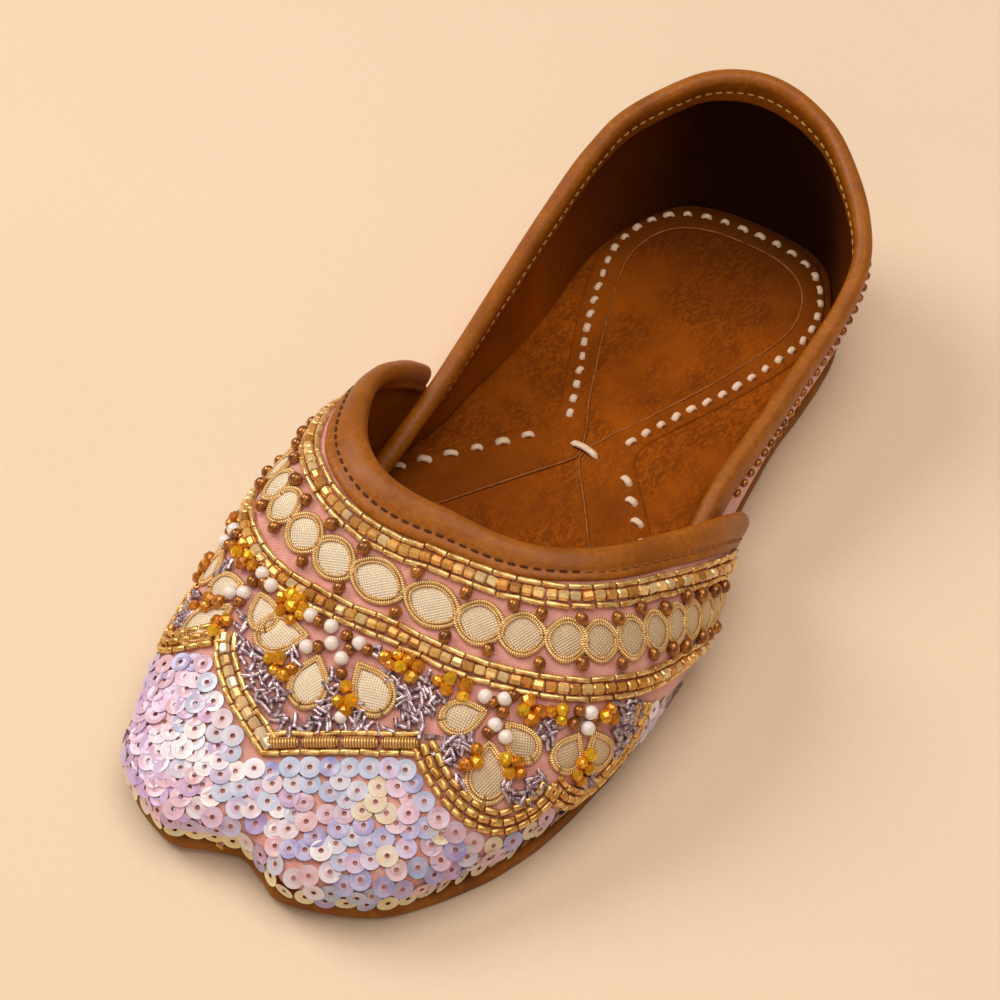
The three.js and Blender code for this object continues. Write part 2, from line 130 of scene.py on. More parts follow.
def swing(y):
    u = np.clip(1 - np.asarray(y, float) / (INFLARE_RUN * LENGTH), 0, 2)
    return -INFLARE * u * u


_w = PLAN[-1, 1]
RIM = np.array([(-TOE_LOBE * 0.45, TOE_NOTCH * 0.5), (0, TOE_NOTCH), (TOE_LOBE * 0.45, TOE_NOTCH * 0.5), (TOE_LOBE, 0)]
               + [(h, t * LENGTH) for t, h, _ in PLAN] + [(_w * 0.62, 0.990 * LENGTH), (0, LENGTH), (-_w * 0.62, 0.990 * LENGTH)])
edge = through(RIM)
collar_edge = through(np.concatenate([RIM[:-4], HEEL_ROUND]))
K0, K1 = 1.0, len(RIM) - 2.0


def ledge(t):
    return ledge_at(np.clip(t, PLAN[0, 0], PLAN[-1, 0]))


def seam(t):
    return (WALL - SEAM_BITE) * (1 - ease(SEAM_END[0], SEAM_END[1], t))


def quarter_foot(t):
    return ledge(t) + seam(t)


def outline(k, inset, line=edge):
    k = np.asarray(k, float)
    p = line(k)
    d = line(np.clip(k + 0.02, K0, K1)) - line(np.clip(k - 0.02, K0, K1))
    tx, ty = d[..., 0], np.where((k <= K0) | (k >= K1), 0.0, d[..., 1])
    l = np.hypot(tx, ty)
    g = inset(p[..., 1] / LENGTH)
    return np.stack([p[..., 0] - ty / l * g, p[..., 1] + tx / l * g], -1)


TOE_BASE = outline(K0, ledge)[1]


def rib(k):
    b2 = outline(k, ledge)
    bx, by = b2[..., 0], b2[..., 1]
    sy = TOE_BASE + np.hypot(TOE_PEAK_BACK, np.maximum(0, by - TOE_BASE))
    sz, bz = instep(sy / LENGTH), feet(by)
    dx, dy = bx, by - sy
    dl = np.maximum(np.hypot(dx, dy), 1e-6)
    slope = (instep((sy + 1) / LENGTH) - instep((sy - 1) / LENGTH)) / 2
    B = np.stack([bx, by, bz], -1)
    out = RIB_BULGE + EAR_FLARE * ease(0.49, 0.55, sy / LENGTH)
    P = np.stack([bx + dx / dl * out, by + dy / dl * out, bz + RIB_RISE * (sz - bz)], -1)
    Q = np.stack([RIB_CROWN * dx, sy + RIB_CROWN * dy, sz + RIB_CROWN * dy * slope], -1)
    S = np.stack([0 * sy, sy, sz], -1)
    return sy / LENGTH, B, P, Q, S


def vamp(k, v):
    k, v = np.broadcast_arrays(np.asarray(k, float), np.asarray(v, float))
    _, B, P, Q, S = rib(k)
    v = v[..., None]
    return (1 - v) ** 3 * B + 3 * (1 - v) ** 2 * v * P + 3 * (1 - v) * v * v * Q + v**3 * S


def quarter(k, w):
    k, w = np.broadcast_arrays(np.asarray(k, float), np.asarray(w, float))
    b, e = outline(k, quarter_foot), edge(k)
    t = np.clip(e[..., 1] / LENGTH, QUARTER_FRONT, 1)
    c, o = outline(k, lambda u: -lean_at(np.clip(u, QUARTER_FRONT, 1)), collar_edge), outline(k, lambda u: -np.ones_like(u))
    bz = feet(b[..., 1]) + 0.1
    belly = (QUARTER_BELLY * 2 * w * (1 - w))[..., None]
    xy = b + (c - b) * w[..., None] + (o - e) * belly
    return np.concatenate([xy, (bz + (collar_high(t) - bz) * w)[..., None]], -1)


def unit(v):
    return v / np.maximum(np.linalg.norm(v, axis=-1, keepdims=True), 1e-12)


def face_normal(f, k, v, lo, hi):
    k, v = np.clip(k, lo + 0.01, hi - 0.01), np.clip(v, 0.02, 0.98)
    return unit(np.cross(f(k + 0.01, v) - f(k - 0.01, v), f(k, v + 0.01) - f(k, v - 0.01)))


def vamp_normal(k, v):
    k, v = np.broadcast_arrays(np.asarray(k, float), np.asarray(v, float))
    n = face_normal(vamp, k, v, K0, K1)
    n[..., 0] = np.where((k <= K0 + 1e-6) | (v >= 1 - 1e-6), 0, n[..., 0])
    return unit(n)


def quarter_normal(k, w):
    k, w = np.broadcast_arrays(np.asarray(k, float), np.asarray(w, float))
    n = face_normal(quarter, k, w, K0 + 2, K1)
    n[..., 0] = np.where(k >= K1 - 1e-6, 0, n[..., 0])
    return unit(n)


_RK = np.linspace(K0 + 2, K0 + 8, 1200)
_RT = rib(_RK)[0]


def rib_at(t):
    return np.interp(t, _RT, _RK)


_tc = through(np.vstack([[THROAT[1, 0], 2 - THROAT[1, 1]], THROAT, 2 * THROAT[-1] - THROAT[-2]]))


def throat_at(u):
    """Parameters of the throat edge, u from 0 (middle) to U_END (end of the ear)."""
    p = _tc(1 + np.asarray(u, float))
    return rib_at(p[..., 0]), np.minimum(1, p[..., 1])


U_END = len(THROAT) - 1.0
back_at, swell_at = curve(BACK_LEAN[:, 0], BACK_LEAN[:, 1]), curve(VAMP_SWELL[:, 0], VAMP_SWELL[:, 1])
K_THROAT = float(rib_at(THROAT[0, 0]))
K_FRONT = float(np.interp(QUARTER_FRONT * LENGTH, edge(np.linspace(4, 12, 2000))[:, 1], np.linspace(4, 12, 2000)))


# ---------------------------------------------------------------- from the last to the row frame
_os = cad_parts["outsole"].data
_co = np.empty(len(_os.vertices) * 3)
_os.vertices.foreach_get("co", _co)
_co = _co.reshape(-1, 3) / MM
_heel = _co[_co[:, 1].argmax()]
OFF = np.array([_heel[0], _heel[1] - LENGTH, 0.0])


def bend(p):
    q = np.array(p, float)
    q[..., 0] += swing(q[..., 1]) + flare(q)
    return q + OFF


# ---------------------------------------------------------------- mesh helpers (millimetres in, metres out)
def make(name, verts, loops, sizes, mats, mat_index=None, smooth=True, uv=None, col=None):
    """Mesh object from flat arrays: loops are vertex numbers, sizes the corners of each face."""
    me = bpy.data.meshes.new(name)
    verts = np.asarray(verts, float)
    loops, sizes = np.asarray(loops, np.int32), np.asarray(sizes, np.int32)
    me.vertices.add(len(verts))
    me.vertices.foreach_set("co", (verts * MM).ravel())
    me.loops.add(len(loops))
    me.loops.foreach_set("vertex_index", loops)
    me.polygons.add(len(sizes))
    me.polygons.foreach_set("loop_start", np.concatenate([[0], np.cumsum(sizes)[:-1]]).astype(np.int32))
    for m in mats:
        me.materials.append(m)
    if mat_index is not None:
        me.polygons.foreach_set("material_index", np.asarray(mat_index, np.int32))
    me.update(calc_edges=True)
    me.polygons.foreach_set("use_smooth", np.full(len(sizes), bool(smooth)))
    if uv is not None:
        lay = me.uv_layers.new(name="UVMap")
        lay.data.foreach_set("uv", np.asarray(uv, float)[loops].ravel())
    if col is not None:
        at = me.color_attributes.new("Col", "FLOAT_COLOR", "POINT")
        c = np.ones((len(verts), 4))
        c[:, :3] = col
        at.data.foreach_set("color", c.ravel())
    me.validate()
    ob = bpy.data.objects.new(name, me)
    bpy.context.scene.collection.objects.link(ob)
    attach(ob, "root")
    return ob


def tag(ob, slot, *nodes):
    if nodes:
        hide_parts(*nodes)
    return ob


def grid_faces(n, m, wrap_m=False, wrap_n=False, base=0, flip=False):
    """Quads of an n by m vertex grid."""
    i, j = np.meshgrid(np.arange(n if wrap_n else n - 1), np.arange(m if wrap_m else m - 1), indexing="ij")
    a, b = base + i * m + j, base + ((i + 1) % n) * m + j
    c, d = base + ((i + 1) % n) * m + (j + 1) % m, base + i * m + (j + 1) % m
    q = np.stack([a, b, c, d], -1).reshape(-1, 4)
    return q[:, ::-1] if flip else q


class Build:
    """Collects vertices and faces of one piece."""

    def __init__(self):
        self.v, self.f, self.n, self.m, self.u, self.c = [], [], 0, [], [], []

    def add(self, verts, quads, mat=0, uv=None, col=None):
        verts = np.asarray(verts, float).reshape(-1, 3)
        self.v.append(verts)
        self.f.append(np.asarray(quads) + self.n)
        self.m.append(np.full(len(quads), mat))
        self.u.append(np.zeros((len(verts), 2)) if uv is None else np.asarray(uv, float).reshape(-1, 2))
        self.c.append(np.ones((len(verts), 3)) if col is None else np.broadcast_to(np.asarray(col, float).reshape(-1, 3), (len(verts), 3)))
        self.n += len(verts)

    def done(self, name, mats, smooth=True, weld=None):
        loops = np.concatenate([f.ravel() for f in self.f])
        sizes = np.concatenate([np.full(len(f), f.shape[1]) for f in self.f])
        v, u, c, m = np.concatenate(self.v), np.concatenate(self.u), np.concatenate(self.c), np.concatenate(self.m)
        if weld:
            key = np.round(v / weld).astype(np.int64)
            _, first, inv = np.unique(key, axis=0, return_index=True, return_inverse=True)
            v, u, c, loops = v[first], u[first], c[first], inv.ravel()[loops]
            st = np.concatenate([[0], np.cumsum(sizes)])
            nl, ns, nm = [], [], []
            for i in range(len(sizes)):
                f = loops[st[i]:st[i + 1]]
                g = [int(a) for k, a in enumerate(f) if a != f[k - 1]]
                if len(set(g)) >= 3 and len(set(g)) == len(g):
                    nl += g
                    ns.append(len(g))
                    nm.append(m[i])
            loops, sizes, m = nl, ns, nm
        return make(name, v, loops, sizes, mats, m, smooth, u, c)


def lathe(profile, segs, closed=False, axis=0):
    """Turned form about an axis: profile rows are (along, radius)."""
    p = np.asarray(profile, float)
    t = np.arange(segs) / segs * 2 * math.pi
    v = np.stack([np.repeat(p[:, :1], segs, 1), p[:, 1:] * np.cos(t), p[:, 1:] * np.sin(t)], -1).reshape(-1, 3)
    q = grid_faces(len(p), segs, wrap_m=True, wrap_n=closed)
    if axis == 2:
        v = v[:, [1, 2, 0]]
    return v, q


def scatter(name, template, o, X, Y, Z, scale, mats, smooth=True, col=None, shade=None):
    """Many copies of one small form as a single mesh."""
    tv, tf = template
    o, X, Y, Z = (np.asarray(a, float).reshape(-1, 3) for a in (o, X, Y, Z))
    n = len(o)
    s = np.broadcast_to(np.asarray(scale, float).reshape(-1, 3) if np.ndim(scale) > 1 else np.asarray(scale, float), (n, 3))
    v = o[:, None] + (tv[None, :, 0:1] * s[:, None, 0:1]) * X[:, None] + (tv[None, :, 1:2] * s[:, None, 1:2]) * Y[:, None] + (tv[None, :, 2:3] * s[:, None, 2:3]) * Z[:, None]
    loops = (tf.ravel()[None] + (np.arange(n) * len(tv))[:, None]).ravel()
    sizes = np.full(n * len(tf), tf.shape[1])
    c = None
    if col is not None:
        c = np.repeat(np.asarray(col, float)[:, None], len(tv), 1)
        if shade is not None:
            c = shade(c, tv)
        c = c.reshape(-1, 3)
    return make(name, v.reshape(-1, 3), loops, sizes, mats, None, smooth, None, c)


def tube(path, radius, segs=8, closed=False, up=None, flat=1.0):
    """Round strand along a path of points; radius may be an array."""
    P = np.asarray(path, float)
    T = unit((np.roll(P, -1, 0) - np.roll(P, 1, 0)) if closed else np.gradient(P, axis=0))
    ref = np.broadcast_to(np.asarray(up if up is not None else (0, 0, 1), float), P.shape)
    A = unit(np.cross(T, ref))
    B = unit(np.cross(A, T))
    t = np.arange(segs) / segs * 2 * math.pi
    r = np.broadcast_to(np.asarray(radius, float), (len(P),))[:, None, None]
    v = P[:, None] + r * (np.cos(t)[None, :, None] * A[:, None] + flat * np.sin(t)[None, :, None] * B[:, None])
    return v.reshape(-1, 3), grid_faces(len(P), segs, wrap_m=True, wrap_n=closed)


def resample(P, pitch, offset=0.5, closed=False):
    """Points and arc positions at an even pitch along a polyline."""
    P = np.asarray(P, float)
    s = np.concatenate([[0], np.cumsum(np.linalg.norm(np.diff(P, axis=0), axis=1))])
    n = max(1, int(round(s[-1] / pitch)))
    q = (np.arange(n) + offset) * s[-1] / n
    return np.stack([np.interp(q, s, P[:, i]) for i in range(P.shape[1])], 1), q, s[-1] / n


def smooth_path(pts, n=24):
    P = np.asarray(pts, float)
    f = through(np.vstack([2 * P[0] - P[1], P, 2 * P[-1] - P[-2]]))
    return f(np.linspace(1, len(P), n * (len(P) - 1) + 1) - 0.0)


# ---------------------------------------------------------------- materials, every one from nodes
def lin(r, g, b):
    c = np.array([r, g, b]) / 255.0
    c = np.where(c <= 0.04045, c / 12.92, ((c + 0.055) / 1.055) ** 2.4)
    return (float(c[0]), float(c[1]), float(c[2]), 1.0)


class Mat:
    """One material: a Principled shader and the nodes that feed it."""

    def __init__(self, name, rough=0.5, metallic=0.0, **more):
        self.m = bpy.data.materials.new(name)
        self.m.use_nodes = True
        self.t = self.m.node_tree
        self.p = next(n for n in self.t.nodes if n.type == "BSDF_PRINCIPLED")
        self.p.inputs["Roughness"].default_value = rough
        self.p.inputs["Metallic"].default_value = metallic
        for k, v in more.items():
            self.p.inputs[k.replace("_", " ")].default_value = v
        self._mm = None

    def node(self, kind, props=None, **ins):
        n = self.t.nodes.new(kind)
        for k, v in (props or {}).items():
            setattr(n, k, v)
        for k, v in ins.items():
            self.put(n.inputs[int(k[1:]) if k[0] == "i" and k[1:].isdigit() else k.replace("_", " ")], v)
        return n

    def put(self, sock, v):
        if isinstance(v, bpy.types.NodeSocket):
            self.t.links.new(v, sock)
        else:
            sock.default_value = v

    def mm(self):
        """Position on the shoe in millimetres."""
        if self._mm is None:
            tc = self.node("ShaderNodeTexCoord")
            self._mm = self.node("ShaderNodeMapping", Vector=tc.outputs["Object"], Scale=(1000, 1000, 1000)).outputs[0]
        return self._mm

    def uv(self, sx=1.0, sy=1.0):
        tc = self.node("ShaderNodeTexCoord")
        return self.node("ShaderNodeMapping", Vector=tc.outputs["UV"], Scale=(sx, sy, 1)).outputs[0]

    def stretch(self, vec, sx, sy, sz):
        return self.node("ShaderNodeMapping", Vector=vec, Scale=(sx, sy, sz)).outputs[0]

    def noise(self, period, detail=3.0, rough=0.55, vec=None, distort=0.0):
        return self.node("ShaderNodeTexNoise", Vector=vec or self.mm(), Scale=1.0 / period, Detail=detail, Roughness=rough, Distortion=distort).outputs[0]

    def cells(self, period, vec=None, feature="F1"):
        return self.node("ShaderNodeTexVoronoi", {"feature": feature}, Vector=vec or self.mm(), Scale=1.0 / period).outputs[0]

    def wave(self, period, vec, axis="X", distort=0.0, profile="SIN"):
        return self.node("ShaderNodeTexWave", {"wave_type": "BANDS", "bands_direction": axis, "wave_profile": profile}, Vector=vec, Scale=math.pi / 10 / period, Distortion=distort).outputs[1]

    def math(self, op, a, b=0.0, clamp=False):
        return self.node("ShaderNodeMath", {"operation": op, "use_clamp": clamp}, i0=a, i1=b).outputs[0]

    def span(self, x, lo, hi, a=0.0, b=1.0):
        return self.node("ShaderNodeMapRange", {"clamp": True}, Value=x, i1=lo, i2=hi, i3=a, i4=b).outputs[0]

    def mix(self, fac, a, b, blend="MIX"):
        n = self.node("ShaderNodeMix", {"data_type": "RGBA", "blend_type": blend})
        self.put(n.inputs[0], fac)
        self.put(n.inputs[6], a)
        self.put(n.inputs[7], b)
        return n.outputs[2]

    def attr(self):
        return self.node("ShaderNodeAttribute", {"attribute_name": "Col"}).outputs["Color"]

    def bump(self, height, depth_mm, normal=None):
        n = self.node("ShaderNodeBump", Height=height, Distance=depth_mm * MM, Strength=1.0)
        if normal is not None:
            self.put(n.inputs["Normal"], normal)
        return n.outputs[0]

    def done(self, color=None, rough=None, normal=None):
        for sock, v in (("Base Color", color), ("Roughness", rough), ("Normal", normal)):
            if v is not None:
                self.put(self.p.inputs[sock], v)
        return self.m


def cloth(name):
    m = Mat(name, 0.75, Sheen_Weight=0.35, Sheen_Roughness=0.45)
    uv = m.uv()
    a, b = m.wave(0.55, uv, "X", 0.6), m.wave(0.55, uv, "Y", 0.6)
    weave = m.math("MULTIPLY", a, b)
    slub = m.noise(2.6, 4.0)
    col = m.mix(m.span(slub, 0.35, 0.68), lin(228, 154, 140), lin(245, 184, 170))
    col = m.mix(m.span(weave, 0.1, 0.75, 0.26, 0.0), col, lin(170, 100, 88))
    n = m.bump(m.noise(5.0, 2.0), 0.25, m.bump(weave, 0.09))
    return m.done(col, m.span(slub, 0.2, 0.8, 0.62, 0.85), n)


def leather(name, dark, mid, light, grain=0.9, depth=0.05, rough=0.5, coat=0.0, worn=9.0, wear=None, spec=0.4):
    """Tanned leather: pores, fine wrinkles and a slow change of tone."""
    m = Mat(name, rough, Coat_Weight=coat, Coat_Roughness=0.35, Specular_IOR_Level=spec)
    slow, fine = m.noise(worn, 4.0, 0.6), m.noise(grain * 1.6, 3.0, 0.6)
    col = m.mix(m.span(slow, 0.34, 0.66), dark, light)
    col = m.mix(m.span(fine, 0.35, 0.7, 0.55, 0.0), col, mid)
    if wear is not None:
        col = m.mix(m.span(m.noise(3.2, 5.0, 0.7), 0.60, 0.74, 0.0, 0.35), col, wear)
    pores = m.cells(grain)
    h = m.math("ADD", m.math("MULTIPLY", pores, 0.6), m.math("MULTIPLY", fine, 0.8))
    return m.done(col, m.span(fine, 0.25, 0.75, rough - 0.08, rough + 0.12), m.bump(m.noise(6.0, 2.0), 0.18, m.bump(h, depth)))


def insole_leather(name, dark, light, wavy, heel_shade_and_wear, start, end, share):
    """Matt vegetable-tanned lining: short wavy grain running along the foot, dusty nap."""
    m = Mat(name, 0.76, Specular_IOR_Level=0.07)
    vec = m.stretch(m.mm(), 1.0, 0.42, 1.0)
    ripple = m.noise(1.25, 2.0, 0.45, vec, 1.6)
    slow, dust = m.noise(22.0, 3.0, 0.5), m.noise(0.8, 3.0, 0.7)
    patch = m.span(m.noise(16.0, 2.0), 0.36, 0.56)
    col = m.mix(m.span(slow, 0.35, 0.65), dark, light)
    line = m.math("MULTIPLY", m.span(ripple, 0.40, 0.56), patch)
    col = m.mix(m.math("MULTIPLY", line, wavy), col, lin(86, 36, 2))
    col = m.mix(m.span(dust, 0.5, 0.72, 0.0, 0.16), col, lin(176, 98, 18))
    back = m.node("ShaderNodeSeparateXYZ", Vector=m.mm()).outputs[1]
    col = m.mix(m.span(m.math("ADD", back, m.math("MULTIPLY", slow, 16.0)), start, end, 0.0, share), col, heel_shade_and_wear)      # darker towards the heel: painted shade of the heel's hollow, partly wear
    h = m.math("ADD", m.math("MULTIPLY", ripple, 0.8), m.math("MULTIPLY", dust, 0.35))
    return m.done(col, m.span(dust, 0.3, 0.7, 0.62, 0.82), m.bump(h, 0.18))


def metal(name, dark, light, rough, metallic=1.0, period=1.6, coat=0.0):
    m = Mat(name, rough, metallic, Coat_Weight=coat, Coat_Roughness=0.08)
    tone = m.noise(period, 2.0)
    col = m.mix(m.span(tone, 0.36, 0.64), dark, light)
    h = m.noise(0.7, 2.0)
    return m.done(col, m.span(m.noise(0.9, 2.0), 0.3, 0.7, max(0.05, rough - 0.08), rough + 0.12), m.bump(h, 0.04))


def tinted(name, rough, metallic=0.0, coat=0.0, amount=0.35, **more):
    """Finish whose colour comes with each bead, broken up by a fine noise."""
    m = Mat(name, rough, metallic, Coat_Weight=coat, Coat_Roughness=0.06, **more)
    c = m.attr()
    col = m.mix(m.span(m.noise(0.9, 3.0), 0.35, 0.65, 0.0, amount), c, lin(60, 32, 12), "MULTIPLY")
    return m.done(col, m.span(m.noise(1.1, 2.0), 0.3, 0.7, rough, rough + 0.1), m.bump(m.noise(0.8, 2.0), 0.03))


def lame(name):
    """Woven metal cloth of the petals: over-and-under strips catching the light."""
    m = Mat(name, 0.32, 0.36)
    uv = m.uv()
    uv = m.node("ShaderNodeMapping", Vector=uv, Rotation=(0, 0, 0.7)).outputs[0]
    a, b = m.wave(0.56, uv, "X", 0.35), m.wave(0.56, uv, "Y", 0.35)
    w = m.math("MULTIPLY", a, b)
    tone = m.noise(1.5, 3.0)
    col = m.mix(m.span(w, 0.02, 0.30), lin(236, 204, 158), lin(255, 252, 242))
    col = m.mix(m.span(tone, 0.42, 0.68, 0.0, 0.14), col, lin(226, 184, 130))
    side = m.node("ShaderNodeSeparateXYZ", Vector=m.mm()).outputs[0]
    col = m.mix(m.span(m.math("ADD", side, m.math("MULTIPLY", tone, 14.0)), 4.0, 44.0, 0.0, 0.5), col, lin(182, 134, 66))      # darker gold towards the outer side: painted shade and reflection of the metal cloth
    return m.done(col, m.span(w, 0.0, 1.0, 0.42, 0.26), m.bump(w, 0.20))


def coil(name, dark, light, period, rough=0.26):
    """Wound wire: ridges across the strand, set by the strand's own length."""
    m = Mat(name, rough, 0.6)
    r = m.wave(period, m.uv(), "X")
    col = m.mix(m.span(r, 0.1, 0.7), dark, light)
    col = m.mix(m.span(m.noise(2.0, 2.0), 0.4, 0.65, 0.0, 0.4), col, dark)
    return m.done(col, m.span(r, 0.0, 1.0, rough + 0.12, rough), m.bump(r, 0.12))


def sequin_film(name):
    """Clear plastic spangle with a pearly film; each has its own tint."""
    m = Mat(name, 0.22, 0.0, Coat_Weight=0.4, Coat_Roughness=0.10, Specular_IOR_Level=0.5)
    c = m.attr()
    col = m.mix(m.span(m.noise(1.6, 2.0), 0.38, 0.66, 0.0, 0.10), c, lin(250, 240, 236))
    return m.done(col, m.span(m.noise(1.0, 2.0), 0.3, 0.7, 0.18, 0.32), m.bump(m.noise(1.4, 2.0), 0.05))


def thread(name, dark, light, period=0.5):
    m = Mat(name, 0.7, Sheen_Weight=0.05, Specular_IOR_Level=0.2)
    tw = m.wave(period, m.uv(), "X", 0.4)
    col = m.mix(m.span(tw, 0.15, 0.7), dark, light)
    return m.done(col, m.span(m.noise(0.6, 2.0), 0.3, 0.7, 0.6, 0.8), m.bump(tw, 0.08))


def lace_thread(name):
    """Smooth waxed lace: barely a grain, a little soiled."""
    m = Mat(name, 0.5, Coat_Weight=0.1, Coat_Roughness=0.4)
    tw = m.noise(0.9, 3.0, 0.6)
    col = m.mix(m.span(tw, 0.3, 0.7), lin(222, 184, 150), lin(242, 216, 190))
    return m.done(col, m.span(tw, 0.2, 0.8, 0.42, 0.62), m.bump(tw, 0.06))


M_CLOTH = cloth("pink_cloth")
# lining, insole and band turn dark towards the heel: painted shade of the heel's hollow, partly wear
M_LINING = insole_leather("lining_leather", lin(134, 65, 6), lin(156, 77, 8), 0.25, lin(30, 10, 1), 62.0, 122.0, 0.96)
M_INSOLE = insole_leather("insole_leather", lin(134, 63, 4), lin(160, 79, 7), 0.55, lin(46, 18, 2), 78.0, 130.0, 0.82)
M_BAND = insole_leather("insole_band_leather", lin(128, 61, 4), lin(152, 75, 6), 0.30, lin(50, 20, 2), 84.0, 132.0, 0.85)
M_BIND = leather("binding_leather", lin(145, 78, 7), lin(126, 65, 4), lin(177, 101, 14), 0.8, 0.035, 0.44, 0.08, 12.0, None, 0.25)
M_SOLE = leather("sole_leather", lin(128, 72, 14), lin(112, 60, 10), lin(168, 102, 26), 1.1, 0.06, 0.6, 0.0, 10.0, lin(188, 122, 54), 0.2)
M_RAW = leather("cut_edge_leather", lin(150, 84, 32), lin(126, 66, 20), lin(182, 116, 60), 0.7, 0.06, 0.8, 0.0, 3.0, None, 0.2)
M_CREAM = lace_thread("cream_lace")
M_STITCH = thread("tan_stitch", lin(104, 54, 12), lin(170, 106, 38), 0.45)
M_DARKSTITCH = thread("brown_stitch", lin(52, 24, 5), lin(104, 54, 12), 0.45)
M_GOLDLINE = thread("gold_stitch", lin(196, 136, 50), lin(246, 196, 108), 0.45)
M_GOLD = metal("gold_bugle", lin(206, 150, 78), lin(250, 214, 146), 0.24, 0.72)
M_BRICK = metal("gold_brick_bead", lin(192, 132, 60), lin(242, 196, 120), 0.24, 0.72)
M_GLASS = tinted("gold_lined_glass_bead", 0.16, 0.5, 0.4, 0.2)
M_BRONZE = metal("bronze_bead", lin(122, 68, 18), lin(188, 116, 42), 0.2, 0.6, 2.0, 0.4)
M_PEARL = tinted("pearl_bead", 0.22, 0.0, 0.7, 0.06, Sheen_Weight=0.2)
M_AMBER = tinted("amber_bead", 0.12, 0.55, 0.6, 0.3, Specular_IOR_Level=0.5)
M_LAME = lame("woven_metal_cloth")
M_WIRE = coil("gold_wire", lin(206, 148, 78), lin(255, 224, 164), 0.5)
M_GIJAI = coil("gold_coil", lin(158, 100, 40), lin(244, 196, 124), 0.62)
M_DABKA = metal("mauve_coil", lin(120, 92, 100), lin(238, 212, 218), 0.2, 0.6, 1.1)
M_SEQUIN = sequin_film("pearl_sequin")


# ---------------------------------------------------------------- dense sheets of the upper, in the last's own frame
T_EAR = THROAT[-1, 0]
K_EAR = float(rib_at(T_EAR))
_ku = np.linspace(0, U_END, 900)
_kk, _vv = throat_at(_ku)


def v_top(k):
    """How far up each rib the vamp runs."""
    return np.where(k <= K_THROAT, 1.0, np.interp(k, _kk, _vv))


def stations(n1, n2):
    s = np.linspace(0, 1, n2)
    uu = U_END * (0.25 * s + 0.75 * s * s)                       # closer at the front of the throat, where the edge turns
    return np.unique(np.concatenate([np.linspace(K0, K_THROAT, n1), np.interp(uu, _ku, _kk), np.linspace(K_THROAT, K_EAR, n2 // 2)]))


def wobble(P, size, period, seed):
    """Slow uneven swell of soft material, a sum of a few waves."""
    r = np.random.default_rng(seed)
    out = np.zeros(P.shape[:-1])
    for i in range(7):
        d = unit(r.normal(size=3)) * 2 * math.pi / (period * r.uniform(0.6, 1.6))
        out += np.sin(P @ d + r.uniform(0, 6.3))
    return out * size / 2.6


VK = stations(150, 60)
NV = 72
VS = np.linspace(0, 1, NV)
KK = np.repeat(VK[:, None], NV, 1)
VV = VS[None] * v_top(VK)[:, None]
VO, VN = vamp(KK, VV), vamp_normal(KK, VV)
MIRROR = np.array([-1.0, 1, 1])


def both(half):
    """Outer sheet of both halves as vertices and quads with the normals outward."""
    n, m = half.shape[:2]
    v = np.concatenate([half.reshape(-1, 3), (half * MIRROR).reshape(-1, 3)])
    return v, np.concatenate([grid_faces(n, m), grid_faces(n, m, base=n * m, flip=True)])


_v, _q = both(VO)
_tri = np.concatenate([_q[:, [0, 1, 2]], _q[:, [0, 2, 3]]])
TREE_LAST = BVHTree.FromPolygons(_v.tolist(), _tri.tolist())
TREE = BVHTree.FromPolygons(bend(_v).tolist(), _tri.tolist())


def snap(P, tree=TREE):
    """Nearest points on the vamp and the way out of it there."""
    P = np.asarray(P, float)
    hit = [tree.find_nearest(p) for p in P.reshape(-1, 3).tolist()]
    return np.array([h[0] for h in hit]).reshape(P.shape), np.array([h[1] for h in hit]).reshape(P.shape)


# ---------------------------------------------------------------- embroidery map: a along the throat edge, q away from it
_e = vamp(*throat_at(np.linspace(0, U_END, 500)))
_e = np.concatenate([(_e * MIRROR)[:0:-1], _e])
_s = np.concatenate([[0], np.cumsum(np.linalg.norm(np.diff(_e, axis=0), axis=1))])
_s -= _s[len(_s) // 2]
A_HALF = float(_s[-1])
A_AT = np.linspace(-A_HALF, A_HALF, 181)
Q_MAX = 100
_cur = np.stack([np.interp(A_AT, _s, _e[:, i]) for i in range(3)], 1)
_t = unit(np.gradient(_cur, axis=0))
_, _n = snap(_cur, TREE_LAST)
_d = unit(np.cross(_t, _n))
_d *= np.sign(-_d[:, 1] - 0.5 * _d[:, 2])[:, None]
_rows = [_cur]
for _ in range(Q_MAX):
    _nx, _n = snap(_cur + _d, TREE_LAST)
    _mv = _nx - _cur
    _d = unit(_mv - (_mv * _n).sum(1, keepdims=True) * _n)
    _cur = _nx
    _rows.append(_cur)


def soften(g, axis, n):
    """Light smoothing along one axis of the map, ends kept."""
    g = np.moveaxis(g, axis, 0).copy()
    for _ in range(n):
        g[1:-1] = (g[:-2] + 2 * g[1:-1] + g[2:]) / 4
    return np.moveaxis(g, 0, axis)


_rows = np.array(_rows)
_rows[1:], _ = snap(soften(_rows, 1, 3)[1:], TREE_LAST)
AQ = bend(_rows)                                             # [q, a, xyz] on the finished shoe
_, NQ = snap(AQ)
NQ = unit(soften(soften(NQ, 1, 6), 0, 4))


